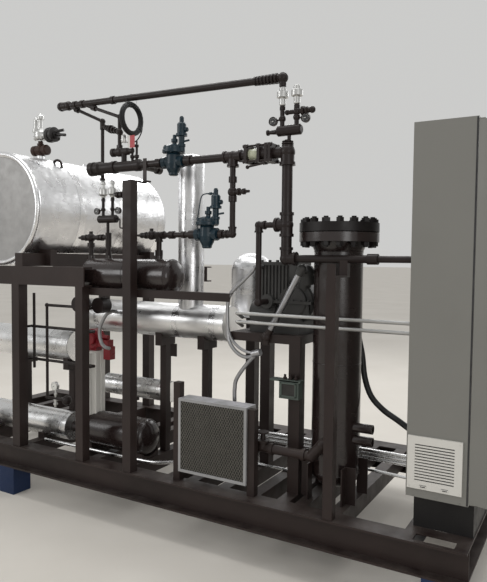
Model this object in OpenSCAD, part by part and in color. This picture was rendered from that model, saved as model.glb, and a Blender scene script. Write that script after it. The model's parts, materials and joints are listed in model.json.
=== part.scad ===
// Skid-mounted process boiler plant: insulated tank, upright pressure vessel, drum,
// pressure-reducing pipework, compressor, air cooler and a free-standing control cabinet.
// Millimetres, +Z up. X is counted from the right-hand end of the skid, negative to the
// left, Y from the front edge of the front rail, Z from the floor; the last module moves
// the whole plant so that the middle of its footprint is at the origin.

/* [Skid] */
// Length of the skid
skid_l = 4260; // [4255:5:4500]
// Width of the skid
skid_w = 1520; // [1480:10:1700]
// Height of the skid rails
rail_h = 165; // [140:1:200]
// Flange width of the skid rails
rail_w = 125; // [122:1:140]
// Flange thickness of the skid rails
rail_flange = 11; // [8:1:16]
// Web thickness of the skid rails
rail_web = 8; // [6:1:12]
// Height of the blocks that the skid stands on
block_h = 190; // [150:5:240]
// Length and width of a block
block_size = 150; // [120:5:200]
// Width of the cross members
cross_w = 75; // [70:1:90]
// Height of the cross members
cross_h = 100; // [80:1:120]

/* [Tank] */
// Outer radius of the insulated tank
tank_r = 410; // [390:5:430]
// Length of the tank's straight jacket
tank_l = 1400; // [1350:10:1500]
// Thickness of the jacket with its insulation
tank_wall = 40; // [20:1:60]
// Depth of the dished far end
tank_dish = 205; // [150:5:260]
// Side of the square posts under the tank
tank_post = 75; // [60:1:90]
// Distance of each tank post from the tank axis
tank_post_dx = 268; // [240:1:290]
// Height of the tank beams
beam_h = 128; // [110:1:140]

/* [Drum] */
// Outer radius of the horizontal drum
drum_r = 109.5; // [100:0.5:112]
// Straight length of the drum
drum_l = 670; // [640:10:700]
// Depth of the drum's dished ends
drum_dish = 52; // [40:1:60]
// Wall thickness of the drum
drum_wall = 9; // [6:1:14]

/* [Upright vessel] */
// Outer radius of the vessel shell
vessel_r = 136.5; // [125:0.5:138]
// Wall thickness of the vessel
vessel_wall = 13; // [8:1:20]
// Outer radius of the flanges
flange_r = 222; // [218:1:230]
// Thickness of one flange
flange_t = 50; // [40:1:60]
// Number of studs in the flange pair
stud_count = 16; // [12:2:20]
// Radius of the stud circle
stud_pcr = 193; // [190:1:196]
// Stud radius
stud_r = 13; // [9:1:14]

/* [Pipework] */
// Radius of the riser
riser_r = 30; // [26:1:32]
// Radius of the header
header_r = 24; // [21:1:26]
// Radius of the branch pipes
branch_r = 17; // [14:1:18]
// Radius of the vent pipe along the top
vent_r = 21; // [17:1:23]
// Radius of the pipe from the riser to the cabinet
cross_pipe_r = 21; // [17:1:23]

/* [Cabinet] */
// Depth of the control cabinet
cab_d = 297; // [260:1:310]
// Width of the control cabinet
cab_w = 914; // [700:2:960]
// Height of the control cabinet
cab_h = 1833; // [1700:1:1950]
// Sheet thickness
cab_sheet = 3; // [2:0.5:5]
// Thickness of the door
door_t = 25; // [22:1:30]
// Angle at which the door stands open
door_open = 105; // [90:1:110]
// Side of the square filter grille
grille_s = 260; // [220:1:270]
// Height of the pedestal
pedestal_h = 175; // [140:5:200]

/* [Cooler] */
// Width of the cooler
cooler_w = 470; // [440:5:490]
// Height of the cooler
cooler_h = 445; // [380:5:480]
// Depth of the cooler
cooler_d = 110; // [90:2:120]

/* [Hidden] */
$fn = 48;

// Seat clearance between curved faces
seat = 0.3;
steel_brown = [0.20, 0.17, 0.16];
pipe_black = [0.14, 0.13, 0.13];
foil = [0.78, 0.79, 0.80];
valve_blue = [0.09, 0.20, 0.27];
silver = [0.72, 0.72, 0.72];
cabinet_grey = [0.46, 0.47, 0.45];

deck = block_h + rail_h;

// Cross members and blocks, from the right-hand end
cross_xs = [280, 690, 890, 1000, 1180, 1388, 1610, 1760, 2110, 2406, 2560, 3055, 3585, 3900];
block_xs = [130, 3150, 4130];

// Posts and beams
post_y = 8;
tank_x = -3320;
beam_z0 = deck + 1150;
beam_z1 = beam_z0 + beam_h;
beam_reach = 925;
tank_y0 = 100;
tank_z = beam_z1 + tank_r + 2;
back_post_y = skid_w - post_y - tank_post;
saddle_w = 800;
saddle_h = 120;
saddle_t = 60;
saddle_ys = [tank_y0 + 110, tank_y0 + tank_l - 170];
bearer_dx = 270;
bearer_w = 75;
bearer_h = 92;
tank_nozzle_ys = [480, 960];
tank_nozzle_r = 30;
tank_nozzle_bore = 21;
tank_nozzle_h = 30;
tall_post_x = -2035;
small_post = 64;
tall_post_top = deck + 1815;
short_post_x = -2440;
bar_y = post_y + small_post;
bar_w = 45;
bar_h = 48;
bar_z1 = beam_z0 - 6;
bar_x0 = short_post_x - small_post/2;
bar_x1 = -1330;

// Drum
pipe_y = 200;
drum_x = -2160;
drum_z = deck + 1225;
drum_nozzle_xs = [-2358, drum_x - drum_l/2 - 20, -1933];
drum_nozzle_r = 24;
drum_top = drum_z + drum_r + 22;
cradle_xs = [-2380, -1900];

// Upright vessel
vessel_x = -790;
vessel_y = 365;
vessel_z0 = deck + 145;
vessel_dish = 90;
neck_z = 1745;
flange_z0 = 1795;
neck_r = vessel_r + 22;
cover_z0 = flange_z0 + flange_t;
cover_z1 = cover_z0 + 5 + flange_t;
vessel_leg = 64;
leg_off = (vessel_r + seat)/sqrt(2);
vessel_post_x = -690;
vessel_post_w = 52;
vessel_post_top = 1605;
inlet_z = 690;
inlet_r = 24;
inlet_face = vessel_y - vessel_r - 22;
hose_top = [vessel_x + vessel_r*0.56, vessel_y + vessel_r*1.04, 1290];
stub_y = 330;
stub_zs = [770, 700];
stub_r = 26;
stub_bore = 21;
stub_x1 = -560;

// Main pipework
cross_pipe_z = 1700;
riser_x = -1037;
header_z = 2292;
branch_z = 1842;
bypass_x = -1213;
bypass_z = 1890;
relief_z = header_z + 65;
relief_drop = 88;
sight_x0 = -1290;
sight_x1 = -1120;
tee_x = -1391;
valve1_x = -1822;
valve2_x = -1569;
valve_half = 84;
knee_x = -2114;
header_x0 = -2506;
header_big_r = 37;
coil_x = -2160;
coil_big = 92;
coil_wire = 22;
bleed_x = -2260;
bleed_top = header_z + 150;
vent_left = [-2790, pipe_y, 2742];
vent_right = [riser_x + 8.5 - relief_drop/2, pipe_y, 2701];

// Cabinet
cab_y = 120;
cab_x1 = -22;
cab_x0 = cab_x1 - cab_d;
cab_z = deck + pedestal_h;
door_gap = 8;
door_h = cab_h - 34;
door_z = cab_z + 17;
hinge_in = 9;
hinge_edge = 12;
hinge_x = cab_x1 + door_gap + hinge_in;
hinge_y = cab_y + hinge_edge;
hinge_play = 0.5;

// Cooler
cooler_x1 = -1205;
cooler_x0 = cooler_x1 - cooler_w;
cooler_y = 62;
cooler_z = deck + 60;
cooler_post_w = 46;

// Compressor
stand_z1 = 1262;
stand_frame_h = 50;
stand_x0 = -1423;
stand_x1 = -963;
stand_y0 = 243;
stand_y1 = 690;
comp_x = -1290;
comp_y = 470;
comp_z = 1447;
comp_r = 128;
comp_front = 325;
bell_x = -1062;
flange_face_y = comp_front - 26;
braid_top = [-958, 240, 1644];
braid_low = [-1152, 240, 1290];

// Insulated lines
main_y = 500;
main_z = 1275;
main_r = 115;
main_x0 = -2860;
main_x1 = -1570;
ins_riser_x = -1895;
ins_riser_r = 84;
ins_riser_z1 = 2390;
low_exch_y = 300;
low_exch_r = 98;
low_exch_z = deck + 118;
low_exch_x1 = -2775;
up_exch_y = 560;
up_exch_r = 122;
up_exch_z = 1012;
up_exch_x1 = -3000;
exch_x0 = -4060;
receiver_x0 = -2640;
receiver_x1 = -2050;
receiver_r = 122;
receiver_z = deck + 140;
canister_x = -2600;
canister_y = 300;
canister_r = 78;
canister_z0 = receiver_z + receiver_r*0.75;
canister_z1 = 1045;
loop_y = 150;
loop_r = 10;

// The open door's far corner and the tank's far end set the footprint
door_far = cab_w - hinge_edge;
foot_x1 = hinge_x - hinge_in*cos(door_open) + door_far*sin(door_open);
foot_x0 = -skid_l;
foot_y0 = hinge_y - (door_t - hinge_in)*sin(door_open) + door_far*cos(door_open);
foot_y1 = max(tank_y0 + tank_l + tank_dish, skid_w);

// Height of the coil's middle: it hangs at the underside of the sloping vent pipe
function coil_z() = let(lean = atan2(vent_left[2] - vent_right[2], vent_right[0] - vent_left[0]))
    vent_height(coil_x) - vent_r/cos(lean) - coil_big - coil_wire - coil_wire*tan(lean) - seat;

// Height of the vent pipe's axis at a place along X
function vent_height(x) = vent_left[2]
    + (vent_right[2] - vent_left[2])*(x - vent_left[0])/(vent_right[0] - vent_left[0]);

// Straight round bar between two points
module rod(p, q, r) {
    v = q - p;
    len = norm(v);
    translate(p) rotate([0, acos(v[2]/len), atan2(v[1], v[0])]) cylinder(r = r, h = len);
}

// Smooth curve through the points p, with t from 0 to len(p) - 1
function smooth(p, t) = let(
    i = min(floor(t), len(p) - 2), u = t - i,
    a = p[max(i - 1, 0)], b = p[i], c = p[i + 1], d = p[min(i + 2, len(p) - 1)])
    0.5*(2*b + (c - a)*u + (2*a - 5*b + 4*c - d)*u*u + (3*b - a - 3*c + d)*u*u*u);

function unit(v) = v/norm(v);

// Bent round hose through the points p; "side" is a direction that the curve never takes
module hose(p, r, side, steps = 6, sides = 10) {
    n = (len(p) - 1)*steps;
    rings = [for (k = [0:n]) let(
        t = k/steps,
        along = unit(smooth(p, min(t + 0.01, len(p) - 1)) - smooth(p, max(t - 0.01, 0))),
        across = unit(cross(along, side)), up = cross(across, along))
        [for (j = [0:sides - 1]) smooth(p, t) + r*(cos(360*j/sides)*across + sin(360*j/sides)*up)]];
    points = [for (ring = rings) for (q = ring) q];
    skin = [for (k = [0:n - 1], j = [0:sides - 1]) let(m = (j + 1)%sides)
        [k*sides + j, k*sides + m, (k + 1)*sides + m, (k + 1)*sides + j]];
    ends = [[for (j = [sides - 1:-1:0]) j], [for (j = [0:sides - 1]) n*sides + j]];
    polyhedron(points = points, faces = concat(skin, ends));
}

// Screwed elbow or tee: a ball with a banded collar on each leg
module fitting(p, r, legs) {
    translate(p) sphere(r = r*1.42);
    for (leg = legs) {
        rod(p, p + leg*r*1.9, r*1.28);
        rod(p + leg*r*1.9, p + leg*r*2.5, r*1.5);
    }
}

// Dished end that rises along +Z
module dished(r, depth, wall) {
    steps = 12;
    outer = [for (i = [0:steps]) [r*cos(90*i/steps), depth*sin(90*i/steps)]];
    inner = [for (i = [steps:-1:0]) [(r - wall)*cos(90*i/steps), (depth - wall)*sin(90*i/steps)]];
    rotate_extrude() polygon(concat(outer, inner));
}

// Hollow square post, closed at its top
module square_post(x, y, w, z0, z1) {
    wall = 5;
    translate([x - w/2, y, z0]) difference() {
        cube([w, w, z1 - z0]);
        translate([wall, wall, -1]) cube([w - 2*wall, w - 2*wall, z1 - z0 + 1 - wall]);
    }
}

// Rolled rail with two flanges and a web, along X
module rail_x(len) {
    side = (rail_w - rail_web)/2;
    difference() {
        cube([len, rail_w, rail_h]);
        for (y = [-1, rail_w - side])
            translate([-1, y, rail_flange]) cube([len + 2, side + 1, rail_h - 2*rail_flange]);
    }
}

// Turned solid about +Z through its [radius, height] steps
module turned(steps) {
    last = steps[len(steps) - 1];
    rotate_extrude() polygon(concat([[0, steps[0][1]]], steps, [[0, last[1]]]));
}

// Dial gauge that faces the front
module gauge(p, r) {
    translate(p) rotate([90, 0, 0]) translate([0, 0, -10])
        turned([[r*0.8, 0], [r, 4], [r, 22], [r*0.86, 22], [r*0.86, 19]]);
}

// Three-way body of a relief group: a stem for each valve and a gauge beside each stem
module relief_body(gap, r, len, stem_r, stem_h, neck_h, neck_r, gauge_r) {
    top = neck_h + 2*r;
    cylinder(r = neck_r, h = neck_h + r);
    translate([0, 0, neck_h + r]) rotate([0, 90, 0]) translate([0, 0, -len/2])
        turned([[r*0.7, 0], [r, 8], [r, len - 8], [r*0.7, len]]);
    for (side = [-1, 1]) {
        nut = [side*gap/2, 0, top + 38];
        translate([side*gap/2, 0, neck_h + r]) cylinder(r = stem_r, h = r + stem_h);
        translate(nut) sphere(r = stem_r*1.55);
        translate([side*gap/2, 0, top + stem_h - 24]) cylinder(r = stem_r*1.35, h = 18, $fn = 6);
        rod(nut, nut + [side*(gauge_r + 12), 0, -8], 5);
        translate(nut + [side*(gauge_r + 30), 0, -10]) rotate([90, 0, 0]) translate([0, 0, -10])
            turned([[gauge_r*0.8, 0], [gauge_r, 4], [gauge_r, 22], [gauge_r*0.86, 22], [gauge_r*0.86, 19]]);
    }
}

// Pressure-reducing valve with its pilot on top, pipe axis along X at z = 0
module pilot_valve(half) {
    pilot_x = 61;
    rod([-half, 0, 0], [half, 0, 0], 27);
    for (side = [-1, 1]) {
        rod([side*(half - 34), 0, 0], [side*(half - 6), 0, 0], 38, $fn = 8);
        translate([side*(half - 40), 0, 0]) sphere(r = 33);
    }
    // Body, bottom plug and bolted bonnet
    turned([[22, -84], [30, -78], [30, -68], [34, -62], [43, -44], [47, -12], [45, 40], [38, 58]]);
    turned([[40, 50], [70, 56], [70, 72], [65, 75], [65, 90], [50, 98], [28, 106]]);
    for (i = [0:7]) rotate([0, 0, 45*i + 22]) translate([58.6, 0, 52]) cylinder(r = 8, h = 44, $fn = 6);
    // Small column, then the tall pilot with its adjusting screw
    translate([8, 0, 0]) turned([[14, 90], [14, 118], [21, 121], [21, 140], [12, 143], [12, 165]]);
    translate([pilot_x, 0, 0]) {
        turned([[21, 60], [21, 86], [25, 90], [25, 104], [19, 108], [19, 150], [35, 153], [35, 168],
            [28, 172], [28, 226], [22, 234], [14, 237], [14, 264], [9, 273]]);
        rod([0, 0, 190], [46, 0, 190], 9);
        rod([30, 0, 190], [42, 0, 190], 14);
        rod([0, 0, 118], [56, 0, 124], 6);
        rod([0, 0, 160], [-44, 0, 160], 7);
    }
}

// Hand valve on a pipe along X: body, bonnet and stem with its wheel towards +X or -X
module side_valve(p, r, dir) {
    translate(p) sphere(r = r*1.75);
    translate(p + [0, 0, r]) cylinder(r = r*0.8, h = r*1.5, $fn = 6);
    translate(p) rotate([0, dir*90, 0]) turned([[r*0.95, 0], [r*0.95, r*2.0], [r*1.3, r*2.2],
        [r*1.3, r*2.9], [r*0.8, r*3.1], [r*0.8, r*3.9], [r*1.05, r*4.1], [r*1.05, r*4.9], [r*0.55, r*5.1],
            [r*0.45, r*6.6]]);
}

module skid_rails() {
    pocket = [196, 72, 6];
    end_l = skid_w - 2*rail_w - 2*seat;
    color(steel_brown) {
        difference() {
            translate([-skid_l, 0, block_h]) rail_x(skid_l);
            translate([-257, 30, deck - pocket[2]]) cube(pocket + [0, 0, 1]);
        }
        translate([-skid_l, skid_w - rail_w, block_h]) rail_x(skid_l);
        for (x = [rail_w - skid_l, 0])
            translate([x, rail_w + seat, block_h]) rotate([0, 0, 90]) rail_x(end_l);
    }
}

module cross_members() {
    color(steel_brown) for (x = cross_xs)
        translate([-x - cross_w/2, rail_w, deck - cross_h])
            cube([cross_w, skid_w - 2*rail_w, cross_h]);
}

module support_blocks() {
    color([0.10, 0.16, 0.26]) for (x = block_xs, y = [0, skid_w - block_size])
        translate([-x - block_size/2, y, 0]) cube([block_size, block_size, block_h]);
}

module tank_posts() {
    color(steel_brown) for (dx = [-1, 1], y = [post_y, back_post_y])
        square_post(tank_x + dx*tank_post_dx, y, tank_post, deck, beam_z0);
}

module tank_beams() {
    web = 10;
    color(steel_brown) for (y = [post_y, back_post_y])
        translate([tank_x - beam_reach, y, beam_z0]) difference() {
            cube([2*beam_reach, tank_post, beam_h]);
            translate([-1, web, web]) cube([2*beam_reach + 2, tank_post, beam_h - 2*web]);
        }
}

module tank_saddles() {
    color(steel_brown) {
        // Bearers along Y, across the two beams
        for (side = [-1, 1])
            translate([tank_x + side*(bearer_dx + bearer_w/2) - bearer_w/2, post_y, beam_z1])
                cube([bearer_w, skid_w - 2*post_y, bearer_h]);
        // Curved plates over the bearers
        for (y = saddle_ys) difference() {
            translate([tank_x - saddle_w/2, y, beam_z1]) cube([saddle_w, saddle_t, saddle_h]);
            for (side = [-1, 1])
                translate([tank_x + side*(bearer_dx + bearer_w/2) - bearer_w/2, y - 1, beam_z1 - 1])
                    cube([bearer_w, saddle_t + 2, bearer_h + 1]);
            translate([tank_x, y - 10, tank_z]) rotate([-90, 0, 0])
                cylinder(r = tank_r + seat, h = saddle_t + 20, $fn = 96);
        }
    }
}

module tank_shell() {
    color(foil) difference() {
        union() {
            translate([tank_x, tank_y0 + 12, tank_z]) rotate([-90, 0, 0])
                cylinder(r = tank_r, h = tank_l - 12, $fn = 96);
            for (y = tank_nozzle_ys)
                translate([tank_x, y, tank_z + tank_r - 30])
                    cylinder(r = tank_nozzle_r, h = 30 + tank_nozzle_h);
        }
        translate([tank_x, tank_y0, tank_z]) rotate([-90, 0, 0])
            cylinder(r = tank_r - tank_wall, h = tank_l + 20, $fn = 96);
        for (y = tank_nozzle_ys)
            translate([tank_x, y, tank_z + tank_r - 2*tank_wall])
                cylinder(r = tank_nozzle_bore, h = 2*tank_wall + tank_nozzle_h + 10);
    }
}

module tank_near_cap() {
    color(foil) translate([tank_x, tank_y0, tank_z]) rotate([-90, 0, 0])
        cylinder(r = tank_r, h = 12, $fn = 96);
}

module tank_far_head() {
    color(foil) translate([tank_x, tank_y0 + tank_l, tank_z]) rotate([-90, 0, 0])
        dished(tank_r, tank_dish, tank_wall);
}

module tank_stop_valve() {
    seat_z = tank_z + tank_r + tank_nozzle_h;
    body = [tank_x, tank_nozzle_ys[0], seat_z + 44];
    color(pipe_black) {
        translate([body[0], body[1], seat_z]) cylinder(r = tank_nozzle_r + 4, h = 14);
        translate([body[0], body[1], seat_z]) cylinder(r = 22, h = 40);
        translate(body) rotate([0, 90, 0]) translate([0, 0, -78])
            turned([[30, 0], [40, 6], [40, 34], [34, 38], [34, 52], [42, 58], [42, 98], [34, 104],
                [34, 118], [40, 122], [40, 150], [30, 156]]);
        translate(body) cylinder(r = 19, h = 70);
        translate(body + [0, 0, 40]) cylinder(r = 27, h = 12, $fn = 6);
    }
}

// Silver relief valve over the stop valve, with a dark outlet that ends in a screwed flange
module tank_relief_valve() {
    z0 = tank_z + tank_r + tank_nozzle_h + 44 + 70;
    x = tank_x;
    y = tank_nozzle_ys[0];
    color(silver) translate([x, y, z0]) {
        turned([[20, 0], [20, 8], [44, 14], [48, 30], [48, 66], [40, 82], [18, 90], [16, 96], [16, 166],
            [27, 170], [28, 192], [22, 200], [8, 214]]);
        translate([-52, 0, 0]) {
            turned([[6, 56], [6, 74], [26, 76], [26, 98], [19, 102], [17, 170], [12, 182], [6, 190]]);
            rod([0, 0, 60], [40, 0, 50], 7);
        }
        rod([0, 0, 46], [-62, 0, 30], 20);
        rod([0, 0, 44], [96, 0, 40], 26);
        translate([96, 0, 40]) rotate([0, 90, 0])
            turned([[34, -8], [56, -4], [58, 10], [58, 24], [50, 28], [50, 38], [56, 42], [56, 62],
                [30, 66], [30, 80]]);
        for (a = [-50, 0, 50]) rotate([a*0.2, 0, 0])
            rod([160, 0, 40 + a*0.4], [268 - abs(a)*0.7, a*0.6, 26 + a*0.8], 11);
    }
}

module drum_shell() {
    color(steel_brown) {
        difference() {
            union() {
                translate([drum_x - drum_l/2, pipe_y, drum_z]) rotate([0, 90, 0])
                    cylinder(r = drum_r, h = drum_l, $fn = 96);
                for (x = drum_nozzle_xs)
                    translate([x, pipe_y, drum_z + drum_r*0.5])
                        cylinder(r = drum_nozzle_r, h = drum_top - drum_z - drum_r*0.5);
            }
            translate([drum_x - drum_l/2 - 1, pipe_y, drum_z]) rotate([0, 90, 0])
                cylinder(r = drum_r - drum_wall, h = drum_l + 2, $fn = 96);
        }
        for (side = [-1, 1])
            translate([drum_x + side*drum_l/2, pipe_y, drum_z]) rotate([0, side*90, 0])
                dished(drum_r, drum_dish, drum_wall);
    }
}

module drum_rail() {
    leg = 6;
    reach = pipe_y + 70;
    color(steel_brown) {
        translate([bar_x0, bar_y, bar_z1 - bar_h]) cube([bar_x1 - bar_x0, leg, bar_h]);
        translate([bar_x0, bar_y, bar_z1 - leg]) cube([bar_x1 - bar_x0, bar_w, leg]);
        for (x = cradle_xs) difference() {
            translate([x, bar_y + leg - 1, bar_z1 - bar_h]) cube([12, reach - bar_y, bar_h + 30]);
            translate([x - 10, bar_y, bar_z1]) cube([32, bar_w, 60]);
            translate([x - 10, pipe_y, drum_z]) rotate([0, 90, 0])
                cylinder(r = drum_r + seat, h = 40, $fn = 96);
        }
    }
}

module pipe_posts() {
    strap = 26;
    strap_y = pipe_y - header_r - seat;
    color(steel_brown) {
        square_post(short_post_x, post_y, small_post, deck, beam_z0);
        square_post(tall_post_x, post_y, small_post, deck, tall_post_top);
        // Strap from the tall post's cap up the front of the header, with a hook at its foot
        translate([tall_post_x - strap/2 + 8, post_y + 20, tall_post_top - 1])
            cube([strap, strap_y - post_y - 20, 7]);
        translate([tall_post_x - strap/2 + 8, strap_y - 6, tall_post_top])
            cube([strap, 6, header_z + 34 - tall_post_top]);
        rod([tall_post_x + 18, strap_y - 8, tall_post_top + 12],
            [tall_post_x + 58, strap_y - 8, tall_post_top + 6], 6);
    }
}

module vessel_shell() {
    color(steel_brown) {
        difference() {
            union() {
                translate([vessel_x, vessel_y, vessel_z0])
                    cylinder(r = vessel_r, h = flange_z0 - vessel_z0 + 1, $fn = 96);
                translate([vessel_x, vessel_y, neck_z])
                    cylinder(r1 = vessel_r, r2 = neck_r, h = flange_z0 - neck_z + 1, $fn = 96);
                translate([vessel_x, vessel_y, flange_z0])
                    cylinder(r = flange_r, h = flange_t, $fn = 96);
                for (z = stub_zs)
                    translate([vessel_x + vessel_r*0.5, stub_y, z]) rotate([0, 90, 0])
                        cylinder(r = stub_r, h = stub_x1 - vessel_x - vessel_r*0.5);
                translate([vessel_x, inlet_face, inlet_z]) rotate([-90, 0, 0])
                    cylinder(r = inlet_r + 8, h = 60);
                // Lug behind the shell, where the cable hose starts
                rod([vessel_x + vessel_r*0.44, vessel_y + vessel_r*0.82, 1314], hose_top + [0, 0, 24], 16);
                translate(hose_top) cylinder(r = 20, h = 48);
            }
            translate([vessel_x, vessel_y, vessel_z0 - 1])
                cylinder(r = vessel_r - vessel_wall, h = cover_z0 - vessel_z0 + 2, $fn = 96);
            for (z = stub_zs)
                translate([vessel_x, stub_y, z]) rotate([0, 90, 0]) cylinder(r = stub_bore, h = 400);
            translate([vessel_x, vessel_y, 0]) stud_ring(stud_r + 1, flange_z0 - 1, flange_t + 2);
        }
        translate([vessel_x, vessel_y, vessel_z0]) mirror([0, 0, 1])
            dished(vessel_r, vessel_dish, vessel_wall);
    }
}

module stud_ring(r, z, h) {
    for (i = [0:stud_count - 1])
        rotate([0, 0, 360*i/stud_count]) translate([stud_pcr, 0, z]) cylinder(r = r, h = h);
}

module vessel_cover() {
    color([0.11, 0.10, 0.10]) translate([vessel_x, vessel_y, 0]) difference() {
        union() {
            translate([0, 0, cover_z0]) cylinder(r = vessel_r + 28, h = 6);
            translate([0, 0, cover_z0 + 5]) cylinder(r = flange_r, h = flange_t, $fn = 96);
        }
        stud_ring(stud_r + 1, cover_z0 - 1, flange_t + 10);
    }
}

module vessel_studs() {
    nut_h = 22;
    spare = 8;
    color([0.16, 0.15, 0.15]) translate([vessel_x, vessel_y, 0]) {
        stud_ring(stud_r, flange_z0 - nut_h - spare, cover_z1 - flange_z0 + 2*(nut_h + spare));
        for (i = [0:stud_count - 1], z = [flange_z0 - nut_h, cover_z1])
            rotate([0, 0, 360*i/stud_count]) translate([stud_pcr, 0, z])
                cylinder(r = stud_r*1.75, h = nut_h, $fn = 6);
    }
}

module vessel_legs() {
    thick = 8;
    leg_h = vessel_z0 + 60 - deck;
    color(steel_brown) translate([vessel_x, vessel_y, deck]) for (turn = [0:90:270])
        rotate([0, 0, turn]) translate([leg_off, leg_off, 0]) difference() {
            cube([vessel_leg, vessel_leg, leg_h]);
            translate([thick, thick, -1]) cube([vessel_leg, vessel_leg, leg_h + 2]);
        }
}

module vessel_post() {
    arm = 44;
    color(steel_brown) {
        square_post(vessel_post_x, post_y, vessel_post_w, deck, vessel_post_top);
        translate([vessel_post_x - arm/2, post_y, vessel_post_top - 1])
            cube([arm, pipe_y + 20 - post_y, 9]);
        translate([vessel_post_x - arm/2, post_y, vessel_post_top]) cube([arm, 8, 70]);
        difference() {
            translate([vessel_post_x - arm/2, pipe_y - 20, vessel_post_top])
                cube([arm, 40, cross_pipe_z - vessel_post_top]);
            translate([vessel_post_x - arm, pipe_y, cross_pipe_z]) rotate([0, 90, 0])
                cylinder(r = cross_pipe_r + seat, h = 2*arm);
        }
    }
}

module riser_pipe() {
    up = [0, 0, 1];
    right = [1, 0, 0];
    color(pipe_black) {
        rod([riser_x, pipe_y, cross_pipe_z], [riser_x, pipe_y, header_z], riser_r);
        fitting([riser_x, pipe_y, cross_pipe_z], riser_r*0.85, [up, right]);
        fitting([riser_x, pipe_y, bypass_z], riser_r*0.9, [up, -up, -right]);
        fitting([riser_x, pipe_y, header_z], riser_r, [-up]);
        rod([riser_x, pipe_y, header_z], [sight_x1, pipe_y, header_z], header_r*1.3);
        // Ribbed bushing under the relief group
        translate([riser_x, pipe_y, header_z]) turned([[33, 20], [33, 36], [26, 38], [34, 42], [34, 48],
            [25, 50], [32, 54], [32, 58], [20, 60], [18, relief_z - header_z]]);
        rod([riser_x, pipe_y, bypass_z], [bypass_x, pipe_y, bypass_z], branch_r);
        fitting([bypass_x, pipe_y, bypass_z], branch_r, [-up, right]);
        rod([bypass_x, pipe_y, bypass_z], [bypass_x, pipe_y, comp_z], branch_r);
        translate([bypass_x, pipe_y, comp_z]) sphere(r = branch_r*1.4);
        rod([bypass_x, pipe_y, comp_z], [bypass_x, flange_face_y, comp_z], branch_r);
    }
}

module cabinet_pipe() {
    x0 = riser_x + riser_r*0.85*2.5;
    reducer_x = -545;
    color(pipe_black) {
        rod([x0, pipe_y, cross_pipe_z], [cab_x0, pipe_y, cross_pipe_z], cross_pipe_r*0.85);
        rod([x0, pipe_y, cross_pipe_z], [reducer_x, pipe_y, cross_pipe_z], cross_pipe_r);
        rod([reducer_x - 20, pipe_y, cross_pipe_z], [reducer_x + 36, pipe_y, cross_pipe_z],
            cross_pipe_r*1.35);
        rod([cab_x0 - 10, pipe_y, cross_pipe_z], [cab_x0, pipe_y, cross_pipe_z], cross_pipe_r*1.6);
    }
}

module header_pipe() {
    up = [0, 0, 1];
    right = [1, 0, 0];
    axis = [0, pipe_y, header_z];
    big = header_big_r;
    len = knee_x - header_x0;
    color(pipe_black) {
        // Thick end with its cap, bulge and reducer
        translate(axis + right*header_x0) rotate([0, 90, 0])
            turned([[big + 4, -14], [big + 9, -8], [big + 9, 28], [big + 2, 32], [big + 2, 42],
                [big + 8, 52], [big + 9, 78], [big, 96], [big, 190], [big + 5, 192], [big + 5, 214],
                [big - 3, 217], [big - 3, len - 12], [big + 1, len - 8], [big + 1, len + 28], [20, len + 42]]);
        rod(axis + right*knee_x, axis + right*(valve1_x - valve_half), header_r);
        rod(axis + right*(valve1_x + valve_half), axis + right*sight_x0, header_r);
        rod(axis + right*(valve1_x - valve_half - 46), axis + right*(valve1_x - valve_half - 8),
            header_r*1.3);
        rod(axis + right*(valve1_x + valve_half + 8), axis + right*(valve1_x + valve_half + 52),
            header_r*1.35);
        fitting(axis + right*tee_x, header_r, [right, -right, -up]);
        // Capped stub that points to the rear
        rod(axis + right*knee_x, axis + right*knee_x + [0, 230, 0], 21);
        rod(axis + right*knee_x + [0, 200, 0], axis + right*knee_x + [0, 236, 0], 29);
        header_valves();
        // Down leg to the lower valve, with its side valve
        rod(axis + right*tee_x, [tee_x, pipe_y, branch_z], branch_r);
        for (z = [header_z - 150, header_z - 262]) translate([tee_x, pipe_y, z])
            cylinder(r = branch_r*1.45, h = 34);
        side_valve([tee_x, pipe_y, header_z - 205], branch_r, 1);
        fitting([tee_x, pipe_y, branch_z], branch_r, [up, -right]);
        rod([tee_x, pipe_y, branch_z], [valve2_x + valve_half, pipe_y, branch_z], branch_r);
        rod([valve2_x + valve_half + 6, pipe_y, branch_z],
            [valve2_x + valve_half + 30, pipe_y, branch_z], branch_r*1.6);
    }
}

// Gate and needle valves that stand on the thick header
module header_valves() {
    valve_z = 96;
    translate([bleed_x + 38, pipe_y, header_z]) cylinder(r = 18, h = valve_z);
    translate([bleed_x, pipe_y, header_z + valve_z]) {
        translate([-66, 0, 0]) rotate([0, 90, 0]) turned([[24, 0], [28, 4], [28, 24], [21, 28], [21, 44],
            [30, 54], [30, 84], [24, 96], [24, 140], [17, 150], [17, 176], [10, 184]]);
        cylinder(r = 13, h = bleed_top - header_z - valve_z);
        translate([0, 0, 26]) cylinder(r = 21, h = 18, $fn = 6);
    }
    // Two needle valves to the right of it
    for (k = [0, 1]) translate([bleed_x + 108 + 36*k, pipe_y, header_z]) turned([[9, 0], [9, 46], [15, 50],
        [15, 66], [8, 70], [8, 92 + 22*k], [13, 95 + 22*k], [13, 110 + 22*k], [6, 113 + 22*k],
                [6, 140 + 14*k]]);
}

module upper_pilot_valve() {
    color(valve_blue) translate([valve1_x, pipe_y, header_z]) pilot_valve(valve_half);
}

module lower_pilot_valve() {
    color(valve_blue) translate([valve2_x, pipe_y, branch_z]) {
        pilot_valve(valve_half);
        // Sensing tube from the pilot round to the valve's left side
        rod([61, 0, 243], [4, 0, 243], 5);
        rod([30, 0, 243], [18, 0, 243], 9);
        hose([[10, 0, 243], [-14, 0, 243], [-44, 0, 226], [-62, 0, 140], [-74, 0, 60], [-62, 0, 30],
            [-40, 0, 16]], 4,
            [0, 1, 0], 3, 6);
    }
}

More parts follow.
